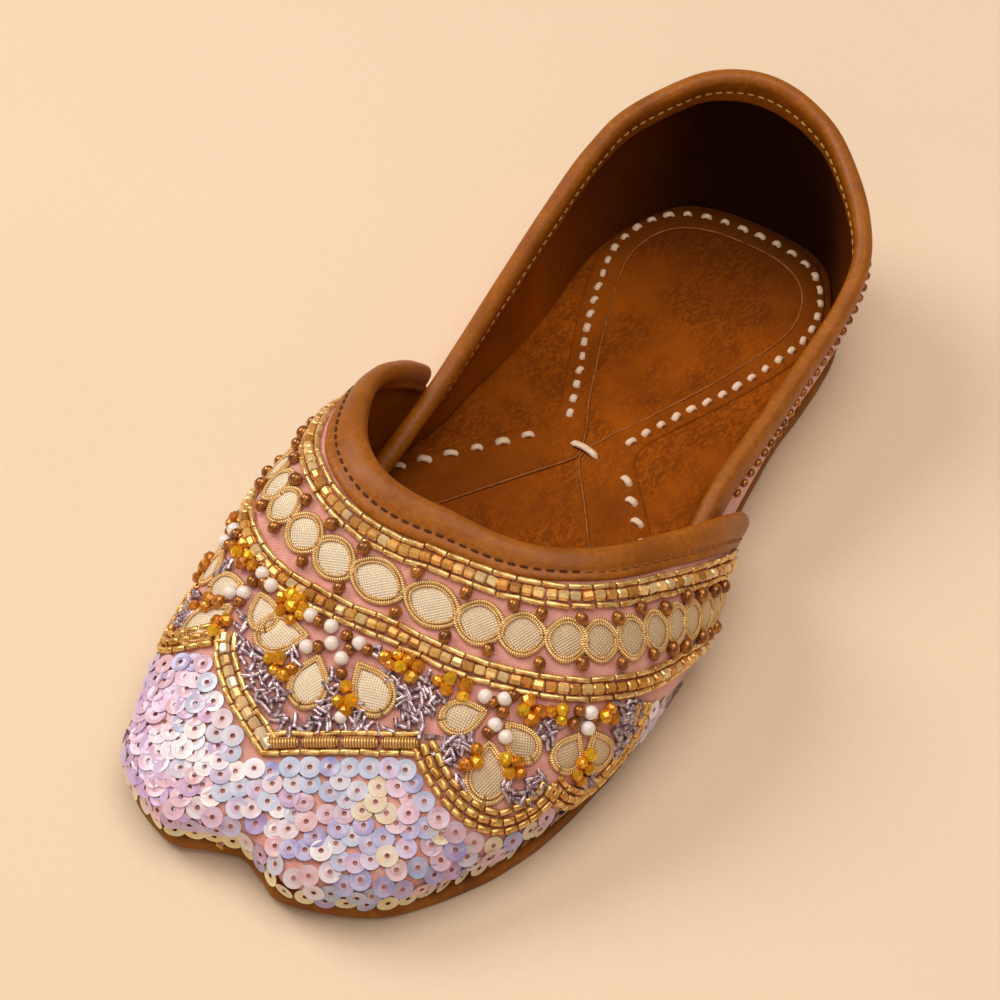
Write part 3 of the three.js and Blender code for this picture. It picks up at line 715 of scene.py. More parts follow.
def on(a, q, lift=0.0):
    """Point on the vamp, its outward normal, and the directions along a and q."""
    a, q = np.broadcast_arrays(np.asarray(a, float), np.asarray(q, float))
    i = np.clip((a + A_HALF) / (2 * A_HALF) * (len(A_AT) - 1), 0, len(A_AT) - 1.001)
    j = np.clip(q, 0, Q_MAX - 1.001)
    i0, j0 = i.astype(int), j.astype(int)
    fi, fj = (i - i0)[..., None], (j - j0)[..., None]
    p00, p01, p10, p11 = AQ[j0, i0], AQ[j0, i0 + 1], AQ[j0 + 1, i0], AQ[j0 + 1, i0 + 1]
    P = (1 - fj) * ((1 - fi) * p00 + fi * p01) + fj * ((1 - fi) * p10 + fi * p11)
    N = unit((1 - fj) * ((1 - fi) * NQ[j0, i0] + fi * NQ[j0, i0 + 1]) + fj * ((1 - fi) * NQ[j0 + 1, i0] + fi * NQ[j0 + 1, i0 + 1]))
    da = (1 - fj) * (p01 - p00) + fj * (p11 - p10)
    dq = (1 - fi) * (p10 - p00) + fi * (p11 - p01)
    da = unit(da - (da * N).sum(-1, keepdims=True) * N)
    dq = dq - (dq * N).sum(-1, keepdims=True) * N
    dq = unit(dq - (dq * da).sum(-1, keepdims=True) * da)
    return P + lift * N, N, da, dq


def aq_of(P):
    """Map coordinates of points on the vamp, by the nearest node of the map."""
    g = AQ[:90].reshape(-1, 3)
    out = np.empty((len(P), 2))
    for i in range(0, len(P), 200):
        d = ((P[i:i + 200, None] - g[None]) ** 2).sum(-1).argmin(1)
        out[i:i + 200, 0], out[i:i + 200, 1] = A_AT[d % len(A_AT)], d // len(A_AT)
    return out


# ---------------------------------------------------------------- outsole
def plate(name, inset, low, high, rings, ns, bevel, mats, edge_wave=0.0):
    """Flat piece cut to the sole's outline, with rounded edges, lying between two heights."""
    k = np.linspace(K0, K1, ns)
    ang = np.linspace(math.pi / 2, -math.pi / 2, 7)
    b = Build()
    out = outline(k, inset)
    mid = np.stack([0 * k, np.clip(out[:, 1], 0.16 * LENGTH, 0.87 * LENGTH)], 1)
    full = np.concatenate([out, (out * [-1, 1])[::-1][1:-1]])
    core = np.concatenate([mid, mid[::-1][1:-1]])
    n = unit(np.gradient(np.concatenate([full[-2:], full, full[:2]]), axis=0))[2:-2]
    n = np.stack([n[:, 1], -n[:, 0]], 1)
    ctr = full.mean(0)
    if ((full - ctr) * n).sum() < 0:
        n = -n
    arc = np.concatenate([[0], np.cumsum(np.linalg.norm(np.diff(full, axis=0), axis=1))])
    wav = edge_wave * (np.sin(arc / 3.7) + np.sin(arc / 8.3 + 1) + 0.6 * np.sin(arc / 1.9 + 2)) / 2.2
    half = (high - low) / 2
    rows = []
    for f in np.linspace(0, 1, rings):
        xy = core + (full - n * (bevel + 0.02) - core) * f
        rows.append(np.concatenate([xy, (high + lift(xy[:, 1]))[:, None]], 1))
    for a in ang[1:-1] if bevel < half else ang:
        s = np.sign(math.sin(a))
        xy = full - n * (bevel * (1 - math.cos(a))) + n * (wav * math.cos(a))[:, None]
        z = (low + high) / 2 + (half - bevel) * s + bevel * math.sin(a)
        rows.append(np.concatenate([xy, (z + lift(xy[:, 1]))[:, None]], 1))
    for f in np.linspace(1, 0, rings):
        xy = core + (full - n * (bevel + 0.02) - core) * f
        rows.append(np.concatenate([xy, (low + lift(xy[:, 1]))[:, None]], 1))
    R = np.array(rows)
    q = grid_faces(len(R), R.shape[1], wrap_m=True)
    b.add(bend(R), q, 0, np.stack([R[..., 0], R[..., 1]], -1))
    return b.done(name, mats, True, 1e-4)


outsole = tag(plate("sole_leather_plate", lambda t: 0 * t, 0.0, SOLE_THICK, 8, 300, 1.1, [M_SOLE], 0.18), "sole_leather", "outsole")


def strand(b, path, radius, segs=8, mat=0, taper=True, up=None, flat=1.0):
    """A short round strand with closed, rounded ends."""
    P = np.asarray(path, float)
    s = np.concatenate([[0], np.cumsum(np.linalg.norm(np.diff(P, axis=0), axis=1))])
    r = np.full(len(P), float(radius)) if np.ndim(radius) == 0 else np.asarray(radius, float)
    if taper:
        e = np.minimum(s, s[-1] - s) / max(1e-6, min(float(np.max(r)), s[-1] / 2))
        r = r * np.sqrt(np.clip(1 - (1 - np.clip(e, 0.02, 1)) ** 2, 0.02, 1))
    v, q = tube(P, r, segs, False, up, flat)
    b.add(v, q, mat, np.stack([np.repeat(s, segs), np.tile(np.arange(segs) / segs, len(P))], -1))


# ---------------------------------------------------------------- insole with its laced band
def insole_edge(t):
    return ledge(t) + WALL + 0.1 + seam(t) * ease(0.37, 0.42, t)


Z_IN = SOLE_THICK + GAP + INSOLE_THICK
insole = tag(plate("insole_leather_sheet", insole_edge, SOLE_THICK + GAP, Z_IN, 26, 240, 0.5, [M_INSOLE]), "insole_leather", "insole")

BAND_IN = [(31, 92), (24, 101.8), (16.6, 112.8), (8, 125.4), (1.9, 134.2), (0.35, 138.5), (3.0, 146.8), (6.8, 155), (10.6, 165), (14.9, 176),
           (18.6, 187), (21.8, 197), (23.4, 206), (22.6, 213.5), (19.8, 220.2), (14.8, 224.8), (8, 227.2), (0, 227.8)]
BAND_OUT = [(40, 101.5), (36.2, 111), (29.4, 121.4), (21.4, 131.6), (15.4, 139), (12.3, 144), (12.2, 149.5), (15.4, 158), (19.4, 168), (23.6, 178.5),
            (27.4, 189), (30, 198.5), (30.4, 207), (28.4, 215.5), (25, 223.4), (19.4, 230.8), (10.4, 235), (0, 235.9)]
LACE_LOOP = [(7.6, 146), (9.0, 150), (10.8, 155), (14.6, 165), (19.0, 175), (22.6, 185), (25.6, 194.8), (27.4, 202), (28.0, 208), (27.0, 215),
             (24.6, 221.5), (20.6, 226.8), (14.8, 230.2), (8, 231.8), (0, 232.2)]
LACE_FRONT = [(36.6, 109.5), (34, 112), (29.5, 117.4), (24.9, 122.6), (20.2, 128), (15.6, 133.6), (11.4, 139)]


def mid_x(y):
    """The lacing runs a little to the inner side of the last's middle."""
    return -2.5 + 1.9 * ease(140, 205, y)


def lace_side(half, side, z=0.0):
    h = np.asarray(half, float)
    return np.stack([mid_x(h[:, 1]) + side * h[:, 0], h[:, 1], Z_IN + lift(h[:, 1]) + z], -1)


_bi, _bo = smooth_path(BAND_IN, 10), smooth_path(BAND_OUT, 10)
band = Build()
for _side in (-1, 1):
    _c = [0.0, 0.03, 0.09, 0.25, 0.5, 0.75, 0.91, 0.97, 1.0]
    _h = [-0.5, 0.22, 0.36, 0.42, 0.45, 0.42, 0.36, 0.2, -0.5]
    _g = []
    for c, h in zip(_c, _h):
        hp = _bi + (_bo - _bi) * c
        _g.append(lace_side(hp, _side, h))
    _g = np.array(_g)
    _g[..., 2] += 0.06 * wobble(_g, 1.0, 14.0, 5)
    _q = grid_faces(_g.shape[0], _g.shape[1], flip=_side > 0)
    band.add(bend(_g), _q, 0, _g[..., :2])
insole_band = tag(band.done("insole_laced_band", [M_BAND], True, 1e-3), "insole_leather")
rim = Build()
for _side in (-1, 1):
    _p = lace_side(_bi[4:], _side, 0.26)
    strand(rim, bend(_p[::2]), 0.26, 5, 0, True)
band_edge = tag(rim.done("insole_band_cut_edge", [M_RAW]), "insole_leather")

lace = Build()


def lace_stitch(mid, along, length, wide, lift_z):
    """One lace stitch: a short flat loop that rises out of the leather and dives back."""
    t = np.linspace(-0.5, 0.5, 9)
    h = lift_z * np.sqrt(np.clip(1 - (2 * t) ** 2, 0, 1))
    P = mid + along * (t * length)[:, None] + np.stack([0 * t, 0 * t, h - 0.35], -1)
    strand(lace, P, wide / 2, 8, 0, False, (0, 0, 1), 0.6)


_r = np.random.default_rng(11)
for _side in (-1, 1):
    for _tab, _pitch, _len, _wid in ((LACE_LOOP, 5.0, 2.2, 1.75), (LACE_FRONT, 6.6, 2.8, 1.9)):
        _p = bend(lace_side(smooth_path(_tab, 12), _side, 0.40))
        _m, _, _ = resample(_p, _pitch, 0.5)
        _t = unit(np.gradient(_m, axis=0))
        for i in range(len(_m)):
            tw = _r.normal(0, 0.16) + (0.35 if _tab is LACE_FRONT else 0.12) * _side
            c, s = math.cos(tw), math.sin(tw)
            al = np.array([c * _t[i, 0] - s * _t[i, 1], s * _t[i, 0] + c * _t[i, 1], 0])
            lace_stitch(_m[i], al, _len * _r.uniform(0.78, 1.15), _wid * _r.uniform(0.85, 1.12), 0.8)
_t = np.linspace(-1, 1, 11)
_p = np.stack([-2.2 + 3.9 * _t, 139.3 - 0.5 * _t + 0.45 * (1 - _t * _t), Z_IN + lift(139.0) + 0.25 + 0.95 * np.sqrt(1 - 0.98 * _t * _t)], -1)
strand(lace, bend(_p), 0.95, 8, 0, True, (0, 0, 1), 0.6)
laces = tag(lace.done("insole_lacing", [M_CREAM]), "insole_leather")


# ---------------------------------------------------------------- upper: vamp and quarter walls
def shell(b, outer, normal, wall, rims, uv):
    """Closed wall of one half from its outer sheet; rims names the sides that are capped."""
    inner = outer - wall * normal
    n, m = outer.shape[:2]
    for side in (1, -1):
        sc = np.array([side, 1, 1.0])
        o, i = outer * sc, inner * sc
        b.add(bend(o), grid_faces(n, m, flip=side < 0), 0, uv)
        b.add(bend(i), grid_faces(n, m, flip=side > 0), 1, uv)
        for edge_o, edge_i, flip in rims(o, i):
            e = np.stack([edge_o, edge_i])
            b.add(bend(e), grid_faces(2, e.shape[1], flip=flip ^ (side < 0)), 2, None)


upper_b = Build()
_len = np.concatenate([np.zeros((len(VK), 1)), np.cumsum(np.linalg.norm(np.diff(VO, axis=1), axis=2), axis=1)], 1)
_base = np.concatenate([[0], np.cumsum(np.linalg.norm(np.diff(VO[:, 0], axis=0), axis=1))])
_uv = np.stack([np.repeat(_base[:, None], NV, 1), _len], -1)
_soft = wobble(VO, 0.16, 13.0, 3)[..., None]
_first = int(np.searchsorted(VK, K_THROAT - 1e-9))
shell(upper_b, VO + VN * _soft * 0.5, VN, WALL, lambda o, i: [(o[:, 0], i[:, 0], True), (o[-1], i[-1], False), (o[_first:, -1], i[_first:, -1], False)], _uv)

_rk = np.linspace(K_FRONT, K1, 400)
_re = quarter(_rk, np.ones(400))
_rs = soften(np.concatenate([_re, (_re * MIRROR)[::-1][1:]]), 0, 420)[:400] - _re
_rs[-1, 0] = 0.0


def wall_at(k, w):
    """Quarter sheet with its collar line eased between the last's stations."""
    w = np.broadcast_to(np.asarray(w, float), np.shape(k))
    d = np.stack([np.interp(k, _rk, _rs[:, i]) for i in range(3)], -1)
    return quarter(k, w) + d * (w ** 2)[..., None]


QK = np.linspace(K_FRONT, K1, 150)
QW = np.linspace(0, 1, 26)
QKK, QWW = np.meshgrid(QK, QW, indexing="ij")
QO, QN = wall_at(QKK, QWW), quarter_normal(QKK, QWW)
_high = np.linalg.norm(QO[:, -1] - QO[:, 0], axis=1)
_qb = np.concatenate([[0], np.cumsum(np.linalg.norm(np.diff(QO[:, 0], axis=0), axis=1))])
_quv = np.stack([np.repeat(_qb[:, None], len(QW), 1), QWW * _high[:, None]], -1)
_sag = (wobble(QO, 0.22, 26.0, 9) * np.sin(math.pi * QWW) * ease(0.46, 0.6, QO[..., 1] / LENGTH))[..., None]
shell(upper_b, QO + QN * _sag, QN, WALL, lambda o, i: [(o[:, 0], i[:, 0], True), (o[0], i[0], True), (o[:, -1], i[:, -1], False)], _quv)
upper = tag(upper_b.done("upper_wall", [M_CLOTH, M_LINING, M_BIND], True, 1e-3), "upper_cloth", "upper")


# ---------------------------------------------------------------- bindings
def across(outer_reach, inner_reach, roll, n_roll, groove_out=None, groove_in=None, thick=1.0):
    """Cross-section of a binding: (kind, distance from the edge, stand-off)."""
    rows = [("o", outer_reach, -0.2), ("o", outer_reach, 0.55), ("o", outer_reach - 0.25, thick * 0.95)]
    for q in np.linspace(outer_reach - 0.9, 0.35, 9):
        h = thick + 0.28 * ease(outer_reach * 0.6, 0.6, q)
        if groove_out is not None:
            h -= 0.34 * math.exp(-((q - groove_out) / 0.42) ** 2)
        rows.append(("o", q, h))
    for a in np.linspace(0, math.pi, n_roll):
        rows.append(("r", a, roll))
    for q in np.linspace(0.35, inner_reach - 0.9, 9):
        h = thick + 0.28 * ease(inner_reach * 0.6, 0.6, q)
        if groove_in is not None:
            h -= 0.34 * math.exp(-((q - groove_in) / 0.42) ** 2)
        rows.append(("i", q, h))
    rows += [("i", inner_reach - 0.25, thick * 0.95), ("i", inner_reach, 0.55), ("i", inner_reach, -0.2)]
    return rows


def binding(name, edge_p, normal, away, surf_o, rows, mats, slot, node, puck=0.05):
    """Folded strip over an edge. surf_o(q) gives the outer sheet and its normal at a distance from the edge."""
    ring = []
    mid = edge_p - normal * WALL / 2 - away * 0.35
    arc = np.concatenate([[0], np.cumsum(np.linalg.norm(np.diff(edge_p, axis=0), axis=1))])
    pu = (np.sin(arc / 2.9) * np.sin(arc / 7.1 + 0.6) + 0.7 * np.sin(arc / 1.7 + np.sin(arc / 11.0) * 2))
    for kind, q, h in rows:
        if kind == "r":
            r = h + 0.06 * np.sin(arc / 9.0 + 1.0)
            ring.append(mid + (normal * math.cos(q) - away * math.sin(q)) * r[:, None])
        else:
            P, N = surf_o(q)
            hh = (h + puck * pu * (1 if h > 0.5 else 0))[:, None]
            ring.append(P + N * hh if kind == "o" else P - N * (WALL + hh))
    G = np.array(ring)
    n, m = G.shape[:2]
    b = Build()
    sec = np.concatenate([[0], np.cumsum(np.linalg.norm(np.diff(G[:, m // 2], axis=0), axis=1))])
    b.add(G, grid_faces(n, m), 0, np.stack([np.repeat(arc[None], n, 0), np.repeat(sec[:, None], m, 1)], -1))
    for col, flip in ((0, False), (m - 1, True)):
        f = np.arange(n)
        ctr = G[:, col].mean(0)
        vv = np.vstack([G[:, col], ctr])
        tri = np.stack([f, np.roll(f, -1), np.full(n, n)], 1)
        b.add(vv, tri[:, ::-1] if flip else tri, 0)
    b.add(np.concatenate([G[0], G[-1]]), grid_faces(2, m), 0)
    return tag(b.done(name, mats, True, 1e-4), slot, node)


_a = np.linspace(-A_HALF, A_HALF, 340)


_reach = np.array([(-90, 1.0), (-52, 0.95), (-42, 1.18), (-34, 1.30), (-12, 1.32), (0, 1.18), (8, 0.98), (20, 0.95), (90, 0.95)])
_wide = soften(np.interp(_a, _reach[:, 0], _reach[:, 1]), 0, 40)      # the strip shows wider on the inner side


def throat_sheet(q):
    P, N, _, _ = on(_a, q * _wide)
    return soften(P, 0, 3), unit(soften(N, 0, 6))


_ep, _en, _ea, _eq = on(_a, np.zeros(len(_a)))
_ep, _en, _eq = soften(_ep, 0, 3), unit(soften(_en, 0, 6)), unit(soften(_eq, 0, 6))
throat_binding = binding("throat_binding_strip", _ep, _en, _eq, throat_sheet, across(5.2, 3.9, 2.25, 11, groove_out=3.1, thick=1.0), [M_BIND], "binding_leather", "throat_binding", 0.05)

_ck = np.concatenate([np.linspace(K_FRONT, K1, 190), np.linspace(K1, K_FRONT, 190)[1:]])
_sg = np.concatenate([np.full(190, 1.0), np.full(189, -1.0)])[:, None]


def bent_normal(P, N):
    """Normal after the toe's swing."""
    g = (swing(P[..., 1] + 0.5) - swing(P[..., 1] - 0.5))[..., None]
    return unit(N - np.concatenate([0 * g, N[..., :1] * g, 0 * g], -1))


_ch = np.linalg.norm(wall_at(_ck, 1.0) - wall_at(_ck, 0.0), axis=1)


def collar_sheet(q):
    w = 1 - q / _ch
    P, N = wall_at(_ck, w), quarter_normal(_ck, w)
    s = np.concatenate([_sg, np.ones_like(_sg), np.ones_like(_sg)], 1)
    return bend(P * s), bent_normal(P * s, N * s)


_cp, _cn = collar_sheet(0.0)
_cq = unit(collar_sheet(1.0)[0] - _cp)
collar_binding = binding("collar_binding_strip", _cp, _cn, _cq, collar_sheet, across(4.0, 6.5, 2.25, 11, groove_in=2.9, thick=1.0), [M_BIND], "binding_leather", "collar_binding", 0.04)

seam_b = Build()


def dashes(path, normal, pitch, length, radius, mat_of, bite=0.10):
    """A sewn line: short strands set into the leather."""
    _, s, _ = resample(path, pitch)
    full = np.concatenate([[0], np.cumsum(np.linalg.norm(np.diff(path, axis=0), axis=1))])
    for c in s:
        t = np.linspace(c - length / 2, c + length / 2, 6)
        P = np.stack([np.interp(t, full, path[:, i]) for i in range(3)], 1)
        N = unit(np.stack([np.interp(t, full, normal[:, i]) for i in range(3)], 1))
        u = np.linspace(-1, 1, 6)
        strand(seam_b, P + N * (radius * 0.9 * np.sqrt(1 - 0.9 * u * u) - bite)[:, None], radius, 6, mat_of(c / full[-1]), True, N[3], 0.8)


_p, _n = throat_sheet(3.1)
dashes(_p + _n * 0.72, _n, 2.75, 2.0, 0.30, lambda f: 0 if f < 0.66 else 1)
_p, _n = collar_sheet(2.9)
_keep = slice(10, -10)
dashes((_p - _n * (WALL + 0.92))[_keep], -_n[_keep], 2.7, 1.9, 0.30, lambda f: 2)
sewing = tag(seam_b.done("binding_stitches", [M_DARKSTITCH, M_STITCH, M_GOLDLINE]), "binding_leather")

# loose ends of the sewing thread beside the notch of the toe
_ends = Build()
for _xy, _m in (([(-5.4, 3.5), (-4.4, 3.8), (-3.2, 3.4)], 0), ([(-4.6, 2.9), (-3.6, 3.0), (-2.7, 2.5)], 1)):
    _p = smooth_path(_xy, 6)
    _p = np.concatenate([_p, (SOLE_THICK + lift(_p[:, 1]) + 0.32)[:, None]], 1)
    strand(_ends, bend(_p), 0.42, 7, _m, True, (0, 0, 1))
toe_ends = tag(_ends.done("toe_thread_ends", [M_CREAM, M_GOLDLINE]), "sole_leather")


# ---------------------------------------------------------------- small forms of the embroidery, unit sizes
def tube_bead(length, r, bore, segs, bevel=0.12):
    """Cut tube: along X, bevelled ends, open bore."""
    h = length / 2
    return lathe([(-h, bore), (-h, r - bevel), (-h + bevel, r), (h - bevel, r), (h, r - bevel), (h, bore)], segs, True)


def ball(n, segs, bore=0.0):
    a = np.linspace(math.pi, 0, n)
    return lathe([(math.cos(x), max(math.sin(x), bore)) for x in a], segs)


BUGLE = tube_bead(1.0, 0.5, 0.2, 9, 0.06)
BRICK = tube_bead(1.0, 0.5, 0.18, 8, 0.09)
FACET = tube_bead(1.0, 0.52, 0.16, 7, 0.13)
ROUND = ball(9, 14, 0.10)
GEM = ball(6, 7)
SPANGLE = lathe([(0.07, 0.23), (0.04, 0.55), (0.085, 1.0), (0.0, 0.55)], 18, True, 2)
_sx = np.linspace(-0.5, 0.5, 13)
SPRING = lathe([(-0.5, 0.05)] + [(x, 0.5 * (0.80 + 0.20 * math.cos(i * math.pi))) for i, x in enumerate(_sx)] + [(0.5, 0.05)], 6)


def surf_path(aq, keys=False, lead=0.0):
    """Smooth line on the vamp through map points: positions, normals, tangents, sideways."""
    p = np.asarray(aq, float)
    P = on(p[:, 0], p[:, 1])[0]
    if keys:
        P = smooth_path(P, 14)
        P = np.vstack([P[:1] - unit(P[1:2] - P[:1]) * lead, P])
    L = np.concatenate([[0], np.cumsum(np.linalg.norm(np.diff(P, axis=0), axis=1))])
    s = np.arange(0, L[-1], 0.5)
    P = np.stack([np.interp(s, L, P[:, i]) for i in range(3)], 1)
    for _ in range(2):
        P[1:-1] = (P[:-2] + 2 * P[1:-1] + P[2:]) / 4
    P, N = snap(P)
    T = unit(np.gradient(P, axis=0))
    return P, N, T, unit(np.cross(N, T))


def beside(path, d):
    """The line moved sideways over the vamp by d."""
    P, N, T, B = path
    Q, M = snap(P + B * d)
    for _ in range(3):
        Q[1:-1] = (Q[:-2] + 2 * Q[1:-1] + Q[2:]) / 4
    Q, M = snap(Q)
    T = unit(np.gradient(Q, axis=0))
    return Q, M, T, unit(np.cross(M, T))


def along(path, pitch, jitter=0.0, rng=RNG):
    """Places on a line at an even pitch: position, tangent, side and normal frames."""
    P, N, T, B = path
    L = np.concatenate([[0], np.cumsum(np.linalg.norm(np.diff(P, axis=0), axis=1))])
    n = max(1, int(round(L[-1] / pitch)))
    s = (np.arange(n) + 0.5) * L[-1] / n + rng.normal(0, jitter, n)
    f = lambda A: np.stack([np.interp(s, L, A[:, i]) for i in range(3)], 1)
    o, z = f(P), unit(f(N))
    x = unit(f(T))
    x = unit(x - (x * z).sum(1, keepdims=True) * z)
    return o, x, np.cross(z, x), z, L[-1] / n


def turn(x, y, ang):
    c, s = np.cos(ang)[:, None], np.sin(ang)[:, None]
    return c * x + s * y, c * y - s * x


class Heap:
    """Copies of one small form gathered from many places."""

    def __init__(self):
        self.o, self.x, self.y, self.z, self.s, self.c = [], [], [], [], [], []

    def put(self, o, x, y, z, scale, col=None):
        n = len(o)
        self.o.append(o); self.x.append(x); self.y.append(y); self.z.append(z)
        self.s.append(np.broadcast_to(np.asarray(scale, float), (n, 3)))
        self.c.append(np.broadcast_to(np.asarray(col if col is not None else (1, 1, 1), float), (n, 3)))

    def done(self, name, template, mats, smooth=True, shade=None, slot="upper_cloth"):
        cat = np.concatenate
        ob = scatter(name, template, cat(self.o), cat(self.x), cat(self.y), cat(self.z), cat(self.s), mats, smooth, cat(self.c), shade)
        return tag(ob, slot)


bugles, facets, bricks, bronze, pearls, ambers, springs, spangles = (Heap() for _ in range(8))


def palette(cols, n, rng=RNG, p=None):
    c = np.array([lin(*x)[:3] for x in cols])
    return c[rng.choice(len(c), n, p=p)] * rng.uniform(0.86, 1.12, (n, 1))


def bugle_row(path, pitch=5.2, length=5.0, r=0.70, jit=0.05):
    o, x, y, z, step = along(path, pitch, jit)
    x, y = turn(x, y, RNG.normal(0, 0.05, len(o)))
    bugles.put(o + z * r * 0.95, x, y, z, np.stack([np.full(len(o), length * step / pitch), np.full(len(o), 2 * r), np.full(len(o), 2 * r)], 1))


GOLDS = [(255, 208, 134), (244, 186, 102), (228, 160, 76), (255, 220, 158), (208, 140, 58)]


def facet_row(path, pitch=2.5, r=1.12, golds=GOLDS):
    o, x, y, z, step = along(path, pitch, 0.06)
    n = len(o)
    roll = RNG.uniform(0, 6.28, n)
    y2, z2 = turn(y, z, roll)
    x2, y3 = turn(x, y2, RNG.normal(0, 0.08, n))
    col = palette(golds, n)
    facets.put(o + z * r * 0.86, x2, y3, z2, np.stack([np.full(n, step * 0.94), np.full(n, 2 * r), np.full(n, 2 * r)], 1) * RNG.uniform(0.92, 1.05, (n, 1)), col)


def brick_row(path, pitch, r, jit=0.05):
    o, x, y, z, step = along(path, pitch, jit)
    n = len(o)
    x, y = turn(x, y, RNG.normal(0, 0.07, n))
    bricks.put(o + z * r * 0.9, x, y, z, np.stack([np.full(n, step * 0.93), np.full(n, 2 * r), np.full(n, 2 * r * 0.9)], 1) * RNG.uniform(0.94, 1.04, (n, 1)))


# two braids that follow the throat, a little further from it on the inner side
BRAID_1 = [(-90, 9.2), (-45, 10.1), (-38, 10.3), (-31, 9.9), (-22, 9.7), (-6.5, 9.4), (-1.3, 8.9), (3.8, 8.2), (11.7, 7.6), (19.7, 7.7), (27, 8.3), (46, 8.3), (90, 8.0)]
BRAID_2 = [(-90, 25), (-52, 26.2), (-40, 28), (-30, 29.2), (-24, 29.4), (-19.6, 29), (-16, 28), (-11.5, 26.9), (-7.2, 26.5), (3.1, 25.9), (9.4, 25.9), (14.5, 26.2),
           (18.7, 26.5), (22.9, 27.1), (27.7, 27.7), (33.7, 27.4), (40.4, 26.7), (52.3, 25.4), (90, 25)]
PETAL_ROW = [(-90, 17.6), (-40, 18.4), (-28, 19.0), (-21, 18.8), (-14.6, 18.3), (-7, 17.6), (5.6, 17.0), (14.3, 16.7), (20.6, 17.0), (31.5, 17.8), (41.6, 17.2), (48, 16.8), (90, 16.4)]
BRAID_HALF = 2.0


def q_line(tab):
    t = np.array(tab, float)
    a = np.linspace(-A_HALF + 0.6, A_HALF - 0.6, 260)
    q = curve(t[:, 0], t[:, 1])(a)
    return np.stack([a, soften(q, 0, 12)], 1)


for _tab in (BRAID_1, BRAID_2):
    _c = surf_path(q_line(_tab))
    facet_row(_c)
    for _d in (-BRAID_HALF, BRAID_HALF):
        bugle_row(beside(_c, _d))

# linked petals between the braids, a bead above and below every link
PETAL_AT = np.array([6, 14, 20, 26, 31, 36, 41, 47, 53, 59, 65, 71.0])
PETAL_AT = np.concatenate([-PETAL_AT[::-1] - 1.0, PETAL_AT])
plates, wires = Build(), Build()


def petal_q(a):
    t = np.array(PETAL_ROW, float)
    return curve(t[:, 0], t[:, 1])(a)


def petal(P, N, X, Y, length, width, kind, dome=0.5, stand=0.35, wire=0.42):
    """A gota petal: domed woven plate with a wound-wire rim. kind 'lens' has two points, 'drop' has one at -X, 'round' none."""
    t = np.linspace(0, 2 * math.pi, 41)[:-1]
    c, s = np.cos(t), np.sin(t)
    if kind == "lens":
        w = np.sign(s) * np.abs(s) ** 1.12
        px, py = c * (1 + 0.05 * c * c), w * (1 - 0.10 * c * c)
    elif kind == "drop":
        px, py = c, s * (1 + 0.36 * c - 0.22 * c * c) * np.where(c < -0.5, 0.75 + 0.5 * (1 + c), 1.0)
    else:
        px, py = c, s
    rim = np.stack([px * length / 2, py * width / 2], 1)
    rings, cols = [], []
    for f in (0.0, 0.35, 0.7, 0.93, 1.0):
        xy = rim * f
        lift_ = stand + dome * (1 - f * f)
        base, M = snap(P + xy[:, :1] * X + xy[:, 1:] * Y)
        rings.append(base + M * (lift_ if f < 1 else 0.05))
        cols.append(xy)
    G = np.array(rings)
    plates.add(G, grid_faces(5, 40, wrap_m=True), 0, np.array(cols) + RNG.uniform(0, 5, 2))
    for f, r in ((1.03, wire), (0.86, wire * 0.55)):
        base, M = snap(P + rim[:, :1] * f * X + rim[:, 1:] * f * Y)
        wob = 1 + 0.10 * np.sin(3 * t + RNG.uniform(0, 6))
        path = base + M * (r * 0.95 + (0 if f > 1 else stand + dome * 0.2))
        v, q = tube(path, r * wob, 7, True, N)
        L = np.concatenate([[0], np.cumsum(np.linalg.norm(np.diff(path, axis=0), axis=1))])
        wires.add(v, q, 0, np.stack([np.repeat(L, 7), np.tile(np.arange(7) / 7, len(path))], -1))


_pp, _pn, _pa, _pq = on(PETAL_AT, petal_q(PETAL_AT))
_gap = np.linalg.norm(np.diff(_pp, axis=0), axis=1)
_size = np.concatenate([[_gap[0]], (_gap[1:] + _gap[:-1]) / 2, [_gap[-1]]])
for i in range(len(PETAL_AT)):
    ang = np.array([RNG.normal(0, 0.10)])
    x, y = turn(_pa[i:i + 1], _pq[i:i + 1], ang)
    petal(_pp[i], _pn[i], x[0], y[0], min(_size[i] * 0.99, 12.0), RNG.uniform(8.2, 9.0), "lens", 0.55, 0.45, wire=0.55)
_ba = (PETAL_AT[1:] + PETAL_AT[:-1]) / 2
for _q, _sc in ((-4.9, 1.42), (4.8, 1.42)):
    P, N, X, Y = on(_ba + RNG.normal(0, 0.5, len(_ba)), petal_q(_ba) + _q + RNG.normal(0, 0.3, len(_ba)))
    _z = RNG.normal(0, 0.3, len(_ba))
    X2, Y2 = turn(Y, -X, _z)
    bronze.put(P + N * 1.25, X2, Y2, N, np.stack([np.full(len(P), 1.62), np.full(len(P), _sc), np.full(len(P), _sc)], 1) * RNG.uniform(0.92, 1.08, (len(P), 1)))

